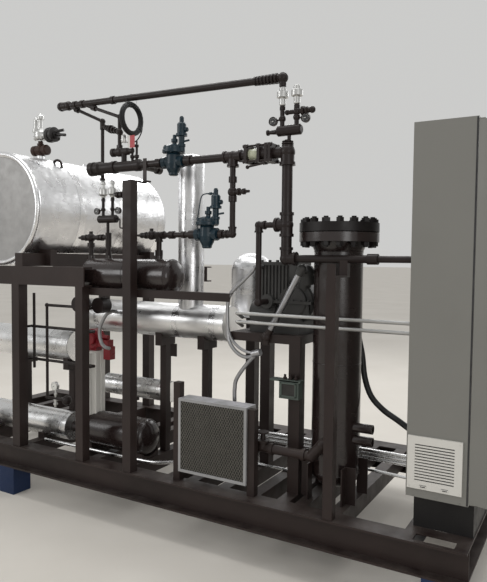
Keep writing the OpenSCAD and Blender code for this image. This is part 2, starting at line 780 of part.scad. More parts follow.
module sight_glass() {
    len = sight_x1 - sight_x0;
    plate = 17;
    plates = [0, 84, 132, len - plate];
    color(pipe_black) translate([sight_x0, pipe_y, header_z]) {
        for (x = plates) translate([x, -52, -52]) cube([plate, 104, 104]);
        translate([plates[1], 0, 0]) rotate([0, 90, 0]) cylinder(r = 42, h = len - plates[1]);
        rotate([0, 90, 0]) cylinder(r = header_r, h = plate);
        for (y = [-43, 43], z = [-43, 43]) {
            translate([-9, y, z]) rotate([0, 90, 0]) cylinder(r = 6, h = len + 18);
            for (x = [-7, plate, plates[1] - 7, plates[2] + plate, len])
                translate([x, y, z]) rotate([0, 90, 0]) cylinder(r = 11, h = 7, $fn = 6);
        }
        // Hand lever under the plates
        rod([plates[1] + 40, -44, -60], [22, -44, -74], 6);
        translate([22, -44, -75]) sphere(r = 11);
        translate([plates[1] + 34, -50, -66]) cube([16, 12, 18]);
    }
}

// Pale glass barrel between the first two plates
module sight_window() {
    color([0.75, 0.76, 0.62]) translate([sight_x0 + 17 + seat, pipe_y, header_z]) rotate([0, 90, 0])
        cylinder(r = 33, h = 84 - 17 - 2*seat);
}

module branch_pipe() {
    up = [0, 0, 1];
    right = [1, 0, 0];
    axis = [0, pipe_y, branch_z];
    tee = drum_nozzle_xs[2];
    left = valve2_x - valve_half;
    color(pipe_black) {
        rod(axis + right*left, axis + right*tee, branch_r);
        rod(axis + right*left, axis + right*(left - 44), branch_r*1.55);
        rod(axis + right*(left - 76), axis + right*(left - 100), branch_r*1.3);
        rod(axis + right*(tee + 84), axis + right*(tee + 120), branch_r*1.45);
        fitting(axis + right*tee, branch_r, [right, -right, -up]);
        side_valve(axis + right*(tee - 60), branch_r, -1);
        rod(axis + right*tee, [tee, pipe_y, drum_top], branch_r);
        translate([tee, pipe_y, drum_top]) cylinder(r = branch_r*1.45, h = 36);
    }
}

module top_relief_body() {
    color(pipe_black) translate([riser_x + 8.5, pipe_y, relief_z]) {
        relief_body(relief_drop, 29, 150, 13, 110, 23, 10.5, 25);
        // Lever of the three-way body and the outlets between the valves
        translate([-74, 0, 50]) rotate([0, -90, 0])
            turned([[20, 0], [14, 8], [10, 50], [16, 54], [16, 64], [10, 67]]);
        out = [relief_drop/2, 0, 150];
        translate(out) sphere(r = 22);
        rod(out, [-14, 0, 150], 12);
        translate([-14, 0, 150]) sphere(r = 14.5);
        rod(out, out + [92, 0, 0], 14);
        rod(out + [30, 0, 0], out + [46, 0, 0], 24);
        rod(out + [56, 0, 0], out + [66, 0, 0], 20);
        translate(out + [92, 0, 0]) sphere(r = 18.5);
    }
}

// Bonnets and caps of the two relief valves over the riser
module top_relief_valves() {
    color(silver) for (side = [-1, 1])
        translate([riser_x + 8.5 + side*relief_drop/2, pipe_y, relief_z + 191])
            turned([[16, 0], [18, 4], [18, 36], [24, 42], [32, 44], [32, 74], [27, 78], [20, 79], [20, 92],
                [15, 94], [15, 100], [10, 104]]);
}

module drum_relief_body() {
    x = drum_nozzle_xs[0];
    x2 = drum_nozzle_xs[1];
    arm_z = 1832;
    neck_z = 1863;
    stub = 135;
    color(pipe_black) {
        translate([x, pipe_y, drum_top]) cylinder(r = 15, h = neck_z - drum_top);
        translate([x, pipe_y, 1768]) cylinder(r = 20, h = neck_z - 1768);
        translate([x, pipe_y, drum_top]) cylinder(r = 21, h = 24, $fn = 6);
        translate([x - 5, pipe_y, neck_z]) relief_body(82, 26, 164, 10, 117, 65, 10, 22);
        // Arm to the angle valve on the other nozzle
        rod([x, pipe_y, arm_z], [x2, pipe_y, arm_z], 15);
        for (k = [0, 1]) rod([x - 48 - 30*k, pipe_y, arm_z], [x - 66 - 30*k, pipe_y, arm_z], 22 - 2*k);
        side_valve([x2, pipe_y, arm_z], 17, -1);
        translate([x2, pipe_y, drum_top]) cylinder(r = 16, h = arm_z - drum_top);
        translate([x2, pipe_y, arm_z - 62]) cylinder(r = 26, h = 26, $fn = 6);
        // Outlet and small tube to the right
        rod([x + 65.4, pipe_y, neck_z + 247], [x + stub, pipe_y, neck_z + 247], 14);
        for (k = [0, 1])
            rod([x + 76 + 32*k, pipe_y, neck_z + 247], [x + 92 + 32*k, pipe_y, neck_z + 247], 21);
        hose([[x + 70, pipe_y, neck_z + 91], [x + 92, pipe_y, neck_z + 90], [x + 100, pipe_y, neck_z + 82],
            [x + 100, pipe_y, neck_z + 44], [x + 106, pipe_y, neck_z + 30], [x + 150, pipe_y, neck_z + 30]], 5,
            [0, 1, 0], 3, 6);
        translate([x + 150, pipe_y, neck_z + 30]) sphere(r = 10);
    }
}

// Bonnets and caps of the two relief valves over the drum
module drum_relief_valves() {
    color(silver) for (side = [-1, 1])
        translate([drum_nozzle_xs[0] - 5 + side*41, pipe_y, 1863 + 65 + 52 + 117])
            turned([[13, 0], [17, 10], [28, 18], [29, 24], [29, 54], [24, 62], [12, 66], [11, 84],
                [17, 88], [17, 104], [10, 112]]);
}

module vent_pipe() {
    down = relief_z + 191 + 104 + seat;
    mouth_x = vent_right[0];
    leg = [-2469, 263, 2622];
    join = [bleed_x, pipe_y, 2616];
    start1 = [-2722, pipe_y, vent_height(-2722)];
    start2 = [-2590, pipe_y, vent_height(-2590)];
    tail = vent_left + (vent_right - vent_left)*0.03;
    side_a = leg + [0, 0, -34];
    side_b = join + [0, 0, -98];
    color(pipe_black) {
        rod(vent_left, vent_right, vent_r);
        translate(vent_left) sphere(r = vent_r*1.5);
        rod(vent_left, tail, vent_r*1.35);
        for (x = [-2672, -2603, -2330]) rod([x, pipe_y, vent_height(x)],
            [x + 26, pipe_y, vent_height(x + 26)], vent_r*1.25);
        // Coupling rings before the elbow that comes down on the relief valve
        for (k = [0:6]) rod([mouth_x - 44 - 22*k, pipe_y, vent_height(mouth_x - 44 - 22*k)],
            [mouth_x - 33 - 22*k, pipe_y, vent_height(mouth_x - 33 - 22*k)], vent_r*1.4 - k*0.6);
        translate(vent_right) sphere(r = vent_r*1.45);
        rod(vent_right, [mouth_x, pipe_y, down], vent_r*0.95);
        // First branch, with the ribbed inline valve at its elbow
        rod(start1, leg, 11);
        translate(start1) sphere(r = vent_r*1.5);
        rod(start1 + (leg - start1)*0.2, start1 + (leg - start1)*0.3, 20);
        translate(leg) sphere(r = 20);
        rod(leg, leg + [0, 0, -56], 17);
        rod(leg, [leg[0], leg[1], 2222], 12);
        rod([leg[0], leg[1], 2236], [leg[0], leg[1], 2222], 18);
        rod(side_a, side_a + (side_b - side_a)*0.95, 14);
        for (k = [0:4]) rod(side_a + (side_b - side_a)*(0.2 + 0.14*k),
            side_a + (side_b - side_a)*(0.27 + 0.14*k),
            27 - 4*abs(k - 2));
        // Second branch and the drop to the header's valve
        rod(start2, join, 11);
        rod(start2 + (join - start2)*0.26, start2 + (join - start2)*0.36, 19);
        translate(join) sphere(r = 18);
        rod(join, [join[0], pipe_y, bleed_top], 13);
        translate(side_b) sphere(r = 23);
    }
}

module hanging_coil() {
    color([0.05, 0.05, 0.05]) translate([coil_x, pipe_y, coil_z()])
        rotate([0, 90, 0]) rotate_extrude() translate([coil_big, 0]) circle(r = coil_wire);
}

// Plain tag that hangs at the coil's underside
module coil_tag() {
    y = pipe_y - 28;
    top = coil_z() - sqrt(pow(coil_big + coil_wire, 2) - 28*28) - seat;
    color([0.62, 0.16, 0.14]) translate([coil_x - 8, y - 1, top - 78]) cube([58, 2, 78]);
}

module compressor() {
    base_top = comp_z - 62;
    elbow = [bell_x + 78, comp_front + 46, comp_z + 176];
    color([0.16, 0.16, 0.15]) {
        // Ribbed block with its cover
        translate([comp_x, comp_front + 12, comp_z]) cube([206, 290, 226]);
        for (k = [0:8]) translate([comp_x + 4 + 23*k, comp_front, comp_z + 10]) cube([11, 314, 222]);
        translate([comp_x - 4, comp_front - 4, comp_z + 214]) cube([214, 322, 20]);
        for (k = [0:3]) translate([comp_x + 22 + 52*k, comp_front + 20, comp_z + 233])
            cylinder(r = 11, h = 12, $fn = 6);
        // Horizontally split casing with its axis along Y
        translate([bell_x, comp_front, comp_z]) rotate([-90, 0, 0])
            turned([[82, 0], [90, 6], [90, 26], [comp_r - 8, 34], [comp_r - 8, 40], [comp_r, 44],
                [comp_r, 280], [comp_r - 20, 290]]);
        translate([comp_x - 10, comp_front - 14, comp_z - 8])
            cube([bell_x + comp_r + 4 - comp_x + 10, 330, 16]);
        for (x = [bell_x - 100, bell_x - 50, bell_x, bell_x + 50, bell_x + 100])
            translate([x + 10, comp_front - 4, comp_z + 7]) cylinder(r = 7, h = 9, $fn = 6);
        // Round elbow at the top right
        rod([bell_x + 50, comp_front + 60, comp_z + 60], elbow, 38);
        translate(elbow) sphere(r = 45);
        rod(elbow, elbow + [2, 12, -70], 41);
        // Hose fitting on the block's front corner
        rod(elbow, braid_top, 17);
        rod(braid_top + (braid_low - braid_top)*0.10, braid_top, 24);
        translate(braid_top) sphere(r = 27);
        // Lower body and base
        translate([comp_x - 50, comp_front + 70, comp_z - 78]) rotate([0, 90, 0]) cylinder(r = 74, h = 170);
        translate([bell_x - 70, comp_front + 10, base_top - 20]) cube([176, 270, 84]);
        translate([comp_x - 40, comp_front - 10, stand_z1]) cube([326, 310, base_top - stand_z1 - 12]);
        translate([bypass_x, flange_face_y, comp_z]) rotate([-90, 0, 0]) cylinder(r = 42, h = 40);
    }
}

module compressor_stand() {
    foot = braid_low - unit(braid_top - braid_low)*52;
    box = [stand_x1 - 106, stand_y0 - 46, 910];
    color(steel_brown) {
        difference() {
            translate([stand_x0, stand_y0, stand_z1 - stand_frame_h])
                cube([stand_x1 - stand_x0, stand_y1 - stand_y0, stand_frame_h]);
            translate([stand_x0 + 70, stand_y0 + 70, stand_z1 - stand_frame_h - 1])
                cube([stand_x1 - stand_x0 - 140, stand_y1 - stand_y0 - 140, stand_frame_h + 2]);
        }
        for (p = [[stand_x0 + 35, stand_y1 - 70], [stand_x1 - 35, stand_y0],
            [stand_x1 - 35, stand_y1 - 70]])
            square_post(p[0], p[1], 70, deck, stand_z1 - stand_frame_h + 1);
        // Shelf with the junction box on the front leg
        translate(box) cube([120, 54, 104]);
        translate(box + [-60, 0, 96]) cube([190, 54, 10]);
        translate(box + [14, -5, 14]) cube([92, 10, 76]);
        for (k = [0:2]) translate(box + [24 + 34*k, 26, 100]) turned([[11, 0], [11, 18], [7, 20], [7, 34]]);
        // Lower fitting of the braided hose, bolted to the frame
        rod(foot + [0, 20, 0], foot, 22);
        rod(foot, braid_low, 20);
        translate(foot) sphere(r = 30);
        rod(foot + [0, 0, -2], foot + [0, 0, -44], 22);
    }
}

// Upright foil-jacketed receiver behind the machine, on its own leg
module foil_receiver() {
    color(foil) translate([-1620, 850, 0]) {
        translate([0, 0, 1300]) cylinder(r = 142, h = 330, $fn = 72);
        translate([0, 0, 1630]) dished(142, 110, 141);
        translate([0, 0, 1300]) cylinder(r = 145, h = 26, $fn = 72);
    }
}

module insulated_main() {
    color(foil) {
        translate([main_x0, main_y, main_z]) rotate([0, 90, 0])
            cylinder(r = main_r, h = main_x1 - main_x0, $fn = 72);
        for (x = [main_x0 + 250, -2200, main_x1 - 120])
            translate([x, main_y, main_z]) rotate([0, 90, 0]) cylinder(r = main_r + 2, h = 24, $fn = 72);
        // Thinner return line below it
        translate([-2800, 680, 725]) rotate([0, 90, 0]) cylinder(r = 74, h = 620, $fn = 72);
        translate([-2420, 680, 725]) rotate([0, 90, 0]) cylinder(r = 76, h = 20, $fn = 72);
    }
}

module insulated_riser() {
    color(foil) difference() {
        union() {
            translate([ins_riser_x, main_y, main_z])
                cylinder(r = ins_riser_r, h = ins_riser_z1 - main_z - 30, $fn = 72);
            translate([ins_riser_x, main_y, ins_riser_z1 - 30]) dished(ins_riser_r, 30, 29);
        }
        translate([ins_riser_x - 200, main_y, main_z]) rotate([0, 90, 0])
            cylinder(r = main_r + seat, h = 400, $fn = 72);
    }
}

module lower_exchanger() {
    color(foil) {
        translate([exch_x0, low_exch_y, low_exch_z]) rotate([0, 90, 0])
            cylinder(r = low_exch_r, h = low_exch_x1 - exch_x0, $fn = 72);
        for (x = [exch_x0 + 300, -3180])
            translate([x, low_exch_y, low_exch_z]) rotate([0, 90, 0])
                cylinder(r = low_exch_r + 2, h = 24, $fn = 72);
    }
}

module upper_exchanger() {
    color(foil) {
        translate([exch_x0, up_exch_y, up_exch_z]) rotate([0, 90, 0])
            cylinder(r = up_exch_r, h = up_exch_x1 - exch_x0, $fn = 72);
        for (x = [exch_x0 + 260, -3560, -3200])
            translate([x, up_exch_y, up_exch_z]) rotate([0, 90, 0])
                cylinder(r = up_exch_r + 2, h = 24, $fn = 72);
    }
}

// A saddle cut to the cylinder that lies on it along X
module cradle(x, y, z, r, w, z0) {
    difference() {
        translate([x - w/2, y - r*0.7, z0]) cube([w, r*1.4, z - r*0.72 - z0]);
        translate([x - w, y, z]) rotate([0, 90, 0]) cylinder(r = r + seat, h = 2*w, $fn = 72);
    }
}

module pipe_stands() {
    head = 60;
    color(steel_brown) {
        for (x = [-2110, -1760]) {
            square_post(x, main_y - 25, 50, deck, main_z - main_r - head + 1);
            cradle(x, main_y, main_z, main_r, 50, main_z - main_r - head);
        }
        for (x = [-3055, -3585]) {
            square_post(x, up_exch_y - 25, 50, deck, up_exch_z - up_exch_r - head + 1);
            cradle(x, up_exch_y, up_exch_z, up_exch_r, 50, up_exch_z - up_exch_r - head);
            cradle(x, low_exch_y, low_exch_z, low_exch_r, 60, deck);
        }
        for (x = [-2110, -2560]) cradle(x, low_exch_y, receiver_z, receiver_r, 60, deck);
        // Stand of the return line, leg of the foil receiver and the instrument post
        square_post(-2560, 680 - 25, 50, deck, 725 - 74 - 40 + 1);
        cradle(-2560, 680, 725, 74, 50, 725 - 74 - 40);
        square_post(-1610, 815, 70, deck, 1292);
        translate([-1710, 750, 1290]) cube([200, 200, 9.7]);
        square_post(-2406, 890, 42, deck, 1092);
        translate([-2390, 882, 946]) cube([92, 9, 98]);
    }
}

module filter_canister() {
    flute = 9;
    color([0.80, 0.76, 0.66]) difference() {
        union() {
            translate([canister_x, canister_y, canister_z0])
                cylinder(r = canister_r, h = canister_z1 - canister_z0, $fn = 72);
            for (i = [0:11]) translate([canister_x, canister_y, canister_z0 + 14]) rotate([0, 0, 30*i])
                translate([canister_r, 0, 0]) cylinder(r = flute, h = canister_z1 - canister_z0 - 28);
        }
        translate([canister_x - 300, low_exch_y, receiver_z]) rotate([0, 90, 0])
            cylinder(r = receiver_r + seat, h = 600, $fn = 72);
    }
}

module red_pump() {
    z = canister_z1 + 78;
    color([0.55, 0.07, 0.09]) {
        translate([canister_x + 20, canister_y - 40, z]) rotate([-90, 0, 0])
            turned([[60, 0], [74, 10], [74, 70], [60, 80]]);
        translate([canister_x + 30, canister_y - 62, z + 6]) rotate([-90, 0, 0])
            turned([[34, 0], [40, 5], [40, 26]]);
        for (k = [0:5]) translate([canister_x + 20, canister_y - 44, z]) rotate([0, 60*k, 0])
            translate([58, 0, 0])
            rotate([-90, 0, 0]) cylinder(r = 7, h = 10, $fn = 6);
        translate([canister_x + 80, canister_y - 34, z - 46]) cube([90, 60, 50]);
        translate([canister_x + 130, canister_y - 30, z - 130]) cube([60, 52, 90]);
        translate([canister_x - 30, canister_y - 30, canister_z1]) cube([90, 60, 30]);
        rod([canister_x + 90, canister_y, z + 20], [canister_x + 150, canister_y, z + 20], 16);
    }
}

module brown_receiver() {
    color(steel_brown) {
        translate([receiver_x0 + 60, low_exch_y, receiver_z]) rotate([0, 90, 0])
            cylinder(r = receiver_r, h = receiver_x1 - receiver_x0 - 120, $fn = 72);
        translate([receiver_x1 - 60, low_exch_y, receiver_z]) rotate([0, 90, 0]) dished(receiver_r, 60, 59);
        translate([receiver_x0 + 60, low_exch_y, receiver_z]) rotate([0, -90, 0])
            dished(receiver_r, 60, 59);
        translate([low_exch_x1, low_exch_y, low_exch_z]) rotate([0, 90, 0])
            cylinder(r = 40, h = receiver_x0 + 90 - low_exch_x1);
    }
}

module small_bore_loop() {
    y = loop_y;
    left_x = -3024;
    mid_x = -2892;
    post_back = short_post_x - small_post/2;
    top_z = 1358;
    low_z = 700;
    color(pipe_black) {
        rod([left_x, y, 1440], [left_x, y, 900], loop_r);
        rod([mid_x, y, top_z], [mid_x, y, low_z], loop_r);
        rod([mid_x, y, top_z], [short_post_x, y, top_z], loop_r);
        rod([mid_x, y, low_z], [-2710, y, low_z], loop_r);
        for (z = [1200, 965]) rod([tank_x + tank_post_dx, y, z], [short_post_x, y, z], loop_r);
        for (p = [[mid_x, y, top_z], [mid_x, y, low_z]]) translate(p) sphere(r = loop_r*1.5);
        for (z = [top_z, 1200, 965])
            rod([short_post_x, y, z], [short_post_x, post_y + small_post, z], loop_r*0.9);
        for (z = [1200, 965])
            rod([tank_x + tank_post_dx, y, z], [tank_x + tank_post_dx, post_y + tank_post, z], loop_r*0.9);
        translate([-2700, y, low_z]) sphere(r = 34);
        // Two capped ends beside the short post
        for (x = [-2560, -2372])
            translate([x, y - 40, 1380]) rotate([-90, 0, 0]) cylinder(r = 52, h = 80);
        rod([-2560, y, 1380], [-2372, y, 1380], loop_r);
    }
}

// Bright tubes low down behind the vessel, and the pair over the skid beside the cabinet
module silver_tubes() {
    y = 560;
    color(silver) {
        for (k = [0:2]) rod([-1430, y, 534 + 23*k], [cab_x0, y, 534 + 23*k], 11);
        for (x = [-1400, -720]) translate([x, y + 6, deck]) cube([12, 5, 534 + 58 - deck]);
        // Single tube that lies on the cross members and then rises
        hose([[-1436, y, deck + 10], [-1200, y, deck + 10], [-955, y, deck + 10.5], [-930, y, deck + 16],
            [-830, y, deck + 56], [-696, y, 462], [-560, y, 462], [-428, y, 458]], 9.5, [0, 1, 0], 4, 8);
    }
}

// Braided hose of the machine, the looping grey lines at its left and the pump's suction hose
module flexible_hoses() {
    y = 226;
    n = unit(braid_top - braid_low);
    low = braid_low + n*seat;
    len = norm(braid_top - braid_low)*0.9 - 2*seat;
    ring = 13;
    color(silver) {
        rod(low, low + n*len, 17);
        for (k = [0:floor(len/ring) - 1]) rod(low + n*(ring*k + 3), low + n*(ring*k + 9), 19.5);
        // Two lines that leave the block and loop down to a joint
        rod([-1251, comp_front - 4 - seat, 1652], [-1251, y, 1652], 12);
        hose([[-1251, y, 1652], [-1266, y, 1628], [-1325, y, 1572], [-1407, y, 1499], [-1434, y, 1430],
            [-1434, y, 1317], [-1428, y, 1221], [-1382, y, 1152], [-1312, y, 1118], [-1238, y, 1135]],
                11, [0, 1, 0], 4, 10);
        hose([[-1434, y, 1300], [-1410, y, 1226], [-1360, y, 1176], [-1300, y, 1150], [-1238, y, 1150]],
            9, [0, 1, 0], 4, 8);
        rod([-1262, y, 1140], [-1208, y, 1156], 21);
        hose([[-1238, y, 1140], [-1298, y, 1078], [-1366, y, 985], [-1380, y, 920], [-1380, y, 850],
            [-1380, y, 770]], 12,
            [0, 1, 0], 4, 10);
        rod([-1380, y, 770], [-1380, cooler_y + cooler_d - 6 + seat, 770], 13);
        // Loop beside the pump
        rod([-2300, 212, 1336], [-2300, main_y - main_r*0.94, 1326], 13);
        hose([[-2300, 212, 1336], [-2340, 212, 1336], [-2400, 212, 1300], [-2448, 212, 1210],
                [-2440, 212, 1130],
            [-2404, 212, 1092], [-2360, 212, 1084]], 12, [0, 1, 0], 4, 10);
    }
}

module cooler_frame() {
    edge = 16;
    color(silver) translate([cooler_x0, cooler_y, cooler_z]) difference() {
        cube([cooler_w, cooler_d, cooler_h]);
        translate([edge, -1, edge]) cube([cooler_w - 2*edge, cooler_d + 2, cooler_h - 2*edge]);
    }
}

module cooler_core() {
    edge = 16;
    color([0.20, 0.20, 0.19]) translate([cooler_x0 + edge, cooler_y + 6, cooler_z + edge])
        cube([cooler_w - 2*edge, cooler_d - 12, cooler_h - 2*edge]);
}

module cooler_posts() {
    color(steel_brown) {
        square_post(cooler_x0 - cooler_post_w/2, cooler_y + 14, cooler_post_w, deck,
            cooler_z + cooler_h + 90);
        square_post(cooler_x1 + cooler_post_w/2, cooler_y + 14, cooler_post_w, deck,
            cooler_z + cooler_h - 10);
    }
}

module cabinet_body() {
    lip = 28;
    tab = 24;
    color(cabinet_grey) {
        difference() {
            translate([cab_x0, cab_y, cab_z]) cube([cab_d, cab_w, cab_h]);
            translate([cab_x0 + cab_sheet, cab_y + cab_sheet, cab_z + cab_sheet])
                cube([cab_d - 2*cab_sheet, cab_w - 2*cab_sheet, cab_h - 2*cab_sheet]);
            translate([cab_x1 - cab_sheet - 1, cab_y + lip, cab_z + lip])
                cube([cab_sheet + 2, cab_w - 2*lip, cab_h - 2*lip]);
        }
        // Top and bottom hinge brackets with their pins
        for (top = [0, 1]) {
            z = top ? door_z + door_h + hinge_play : door_z - hinge_play - 6;
            pin_z = top ? door_z + door_h - 24 : door_z - hinge_play - 1;
            translate([cab_x1 - 1, cab_y, z]) cube([hinge_x - cab_x1 + 11, tab, 6]);
            translate([hinge_x, hinge_y, pin_z]) cylinder(r = 5, h = 25 + hinge_play);
        }
    }
}

module cabinet_grille() {
    x0 = cab_x0 + 8;
    z0 = cab_z + 46;
    rim = 36;
    color([0.75, 0.73, 0.66]) translate([x0, cab_y - 12, z0]) {
        difference() {
            cube([grille_s, 12, grille_s]);
            for (k = [0:12]) translate([rim, -1, 42 + 14.5*k]) cube([grille_s - 2*rim, 8, 6]);
        }
        for (x = [grille_s*0.3, grille_s*0.7]) translate([x - 16, -3, 8]) cube([32, 4, 10]);
    }
}

module cabinet_pedestal() {
    y0 = cab_y + 68;
    deep = cab_w - 150;
    color([0.13, 0.12, 0.12]) translate([cab_x0 + 25, y0, deck]) difference() {
        cube([cab_d - 8, deep, pedestal_h]);
        translate([6, 6, -1]) cube([cab_d - 20, deep - 12, pedestal_h + 2]);
    }
}

// Drawn shut, then swung open about its pins
module cabinet_door() {
    skin = 3;
    color(cabinet_grey) translate([hinge_x, hinge_y, door_z]) rotate([0, 0, -door_open])
        translate([-hinge_in, -hinge_edge, 0]) difference() {
            union() {
                difference() {
                    cube([door_t, cab_w, door_h]);
                    translate([-1, skin, skin]) cube([door_t + 1 - skin, cab_w - 2*skin, door_h - 2*skin]);
                }
                for (z = [0, door_h - 30]) translate([0, 0, z]) cube([door_t, 26, 30]);
            }
            translate([hinge_in, hinge_edge, -1]) cylinder(r = 5.1, h = door_h + 2);
        }
}

module conduits() {
    y = 178;
    x0 = -1340;
    z1 = 1380;
    z2 = 1330;
    color([0.62, 0.62, 0.60]) for (z = [z1, z2]) {
        rod([x0, y, z], [cab_x0, y, z], 10);
        rod([cab_x0 - 12, y, z], [cab_x0, y, z], 17);
        translate([x0, y, z]) sphere(r = 10.5);
        rod([x0, y, z], [x0, stand_y0, z - 30], 10);
    }
}

module cable_hose() {
    y = hose_top[1];
    x0 = hose_top[0];
    color([0.10, 0.10, 0.11]) {
        hose([[x0, y, 1290 - 2*seat], [x0, y, 1255], [-690, y, 1150], [-672, y, 1020], [-632, y, 915],
            [-560, y, 845],
            [-478, y, 798], [-400, y, 752], [cab_x0 - 30, y, 730], [cab_x0 - seat, y, 730]], 17,
                [0, 1, 0], 4, 12);
        rod([cab_x0 - 18, y, 730], [cab_x0 - seat, y, 730], 24);
    }
}

// Brown feed pipe that comes in from the left and turns up into the vessel's front
module inlet_pipe() {
    y = 168;
    z = inlet_z - 72;
    left = cooler_x1 + 2;
    turn = [vessel_x - 62, y, z];
    color(steel_brown) {
        rod([left, y, z], turn, 26);
        for (x = [left, turn[0] - 56, -1106]) rod([x, y, z], [x + 22, y, z], 33);
        translate(turn) sphere(r = 31);
        rod(turn, [vessel_x, y, inlet_z], 30);
        translate([vessel_x, y, inlet_z]) sphere(r = 32);
        rod([vessel_x, y, inlet_z], [vessel_x, inlet_face - seat, inlet_z], 30);
        // Valve with its bonnet and hand wheel
        translate([-1152, y, z]) turned([[30, 0], [30, 30], [38, 34], [38, 44], [16, 48], [12, 84],
                [34, 86], [34, 94]]);
    }
}

module place() {
    translate([-(foot_x0 + foot_x1)/2, -(foot_y0 + foot_y1)/2, 0]) children();
}

place() skid_rails();
place() cross_members();
place() support_blocks();
place() tank_posts();
place() tank_beams();
place() tank_saddles();
place() tank_shell();
place() tank_near_cap();
place() tank_far_head();
place() tank_stop_valve();
place() tank_relief_valve();
place() drum_shell();
place() drum_rail();
place() pipe_posts();
place() vessel_shell();
place() vessel_cover();
place() vessel_studs();
place() vessel_legs();
place() vessel_post();
place() inlet_pipe();
place() riser_pipe();
place() cabinet_pipe();
place() header_pipe();
place() upper_pilot_valve();
place() lower_pilot_valve();
place() sight_glass();
place() sight_window();
place() branch_pipe();
place() top_relief_body();
place() top_relief_valves();
place() drum_relief_body();
place() drum_relief_valves();
place() vent_pipe();
place() hanging_coil();
place() coil_tag();
place() compressor();
place() compressor_stand();
place() foil_receiver();
place() insulated_main();
place() insulated_riser();
place() lower_exchanger();
place() upper_exchanger();
place() pipe_stands();
place() filter_canister();
place() red_pump();
place() brown_receiver();
place() small_bore_loop();
place() silver_tubes();
place() flexible_hoses();
place() cooler_frame();
place() cooler_core();
place() cooler_posts();
place() cabinet_body();
place() cabinet_grille();
place() cabinet_pedestal();
place() cabinet_door();
place() conduits();
place() cable_hose();
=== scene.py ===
# %% [markdown]
# # A skid-mounted boiler plant
# The solids of this plant come ready made: rails, posts, vessels, pipes, valves and the control
# cabinet. This script gives them their looks. It adds what sheet metal, foil and mesh do that a
# plain solid can't show, paints every piece with a procedural finish, and sets up floor, light
# and camera. Lengths are in metres, unless a name or a comment says millimetres.

# %% Load the solids
import bpy
import json
import math
from mathutils import Matrix, Vector


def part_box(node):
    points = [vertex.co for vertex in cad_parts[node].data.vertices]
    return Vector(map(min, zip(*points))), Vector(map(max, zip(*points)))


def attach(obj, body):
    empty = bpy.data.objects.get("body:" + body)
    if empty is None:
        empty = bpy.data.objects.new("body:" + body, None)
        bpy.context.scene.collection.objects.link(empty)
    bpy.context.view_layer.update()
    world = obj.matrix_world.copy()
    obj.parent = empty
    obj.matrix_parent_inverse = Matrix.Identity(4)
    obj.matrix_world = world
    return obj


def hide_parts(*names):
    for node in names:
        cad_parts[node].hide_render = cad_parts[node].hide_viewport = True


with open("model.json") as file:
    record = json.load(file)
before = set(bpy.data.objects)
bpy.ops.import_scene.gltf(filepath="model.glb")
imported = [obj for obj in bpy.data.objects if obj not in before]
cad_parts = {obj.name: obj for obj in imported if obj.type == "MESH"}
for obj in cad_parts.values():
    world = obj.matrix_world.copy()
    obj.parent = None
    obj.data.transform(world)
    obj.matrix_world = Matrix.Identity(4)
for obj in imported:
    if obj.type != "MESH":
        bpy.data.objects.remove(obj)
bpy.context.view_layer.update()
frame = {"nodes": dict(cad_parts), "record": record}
nodes = frame["nodes"]
bpy.ops.object.select_all(action="DESELECT")


SKID_X, SKID_Y = 1.6957028, -0.7940452


def skid(x, y, z):
    """A place measured in millimetres from the skid's right front corner, in scene metres."""
    return Vector((x / 1000 + SKID_X, y / 1000 + SKID_Y, z / 1000))


# %% [markdown]
# ## Camera
# The camera stands in front of the cabinet's corner, a little above eye height, and looks to the
# left. It is levelled to the skid by three turns: left, slightly down, and a small roll. A Track
# To constraint could aim it, but not roll it, so its matrix is built from its own three
# directions. Its lens is set for a frame that is 582 high.

# %% Camera
SENSOR_MM = 36


def set_camera(place, turn_left, tilt_up, roll, focal_px, frame_high):
    t, p, r = (math.radians(a) for a in (turn_left, tilt_up, roll))
    forward = Vector((-math.sin(t) * math.cos(p), math.cos(t) * math.cos(p), math.sin(p)))
    side = Vector((math.cos(t), math.sin(t), 0))
    up = side.cross(forward)
    right = side * math.cos(r) + up * math.sin(r)
    top = up * math.cos(r) - side * math.sin(r)
    lens = bpy.data.cameras.new("camera")
    lens.sensor_width = SENSOR_MM
    lens.lens = focal_px * SENSOR_MM / frame_high
    camera = bpy.data.objects.new("camera", lens)
    bpy.context.scene.collection.objects.link(camera)
    turn = Matrix((right, top, -forward)).transposed().to_4x4()
    camera.matrix_world = Matrix.Translation(place) @ turn
    bpy.context.scene.camera = camera
    return camera


camera = set_camera(place=Vector((2.16474, -3.65405, 1.68576)), turn_left=30.188, tilt_up=-2.8513,
                    roll=0.5935, focal_px=607.17, frame_high=582)
bpy.context.scene.view_settings.view_transform = "Standard"
print("camera at", [round(v, 3) for v in camera.location])

# %% [markdown]
# ## Writing shaders as plain expressions
# A material is a tree of nodes. Each node could be added and linked by hand, but a mask made of
# five of them then takes twenty lines. The class Sock wraps one socket of that tree instead, so
# that masks can be added, multiplied and compared as numbers are in Python.

# %% Socket maths
class Sock:
    """One output socket; an expression on it adds Math nodes to its tree."""

    def __init__(self, finish, socket):
        self.finish, self.socket = finish, socket

    def maths(self, operation, *others):
        return self.finish.node("ShaderNodeMath", {"operation": operation},
                                dict(enumerate((self, *others))))

    def __add__(self, other):
        return self.maths("ADD", other)

    def __rsub__(self, other):
        return self.finish.node("ShaderNodeMath", {"operation": "SUBTRACT"}, {0: other, 1: self})

    def __mul__(self, other):
        return self.maths("MULTIPLY", other)

    def __gt__(self, other):
        return self.maths("GREATER_THAN", other)


# %% [markdown]
# The class Finish holds one material. Its methods make the few kinds of node that the finishes
# below are written with: noise, rounded cells, a stretch of values, a blend and a bump. The
# textures read object coordinates, which are metres here, so no piece has to be unwrapped.

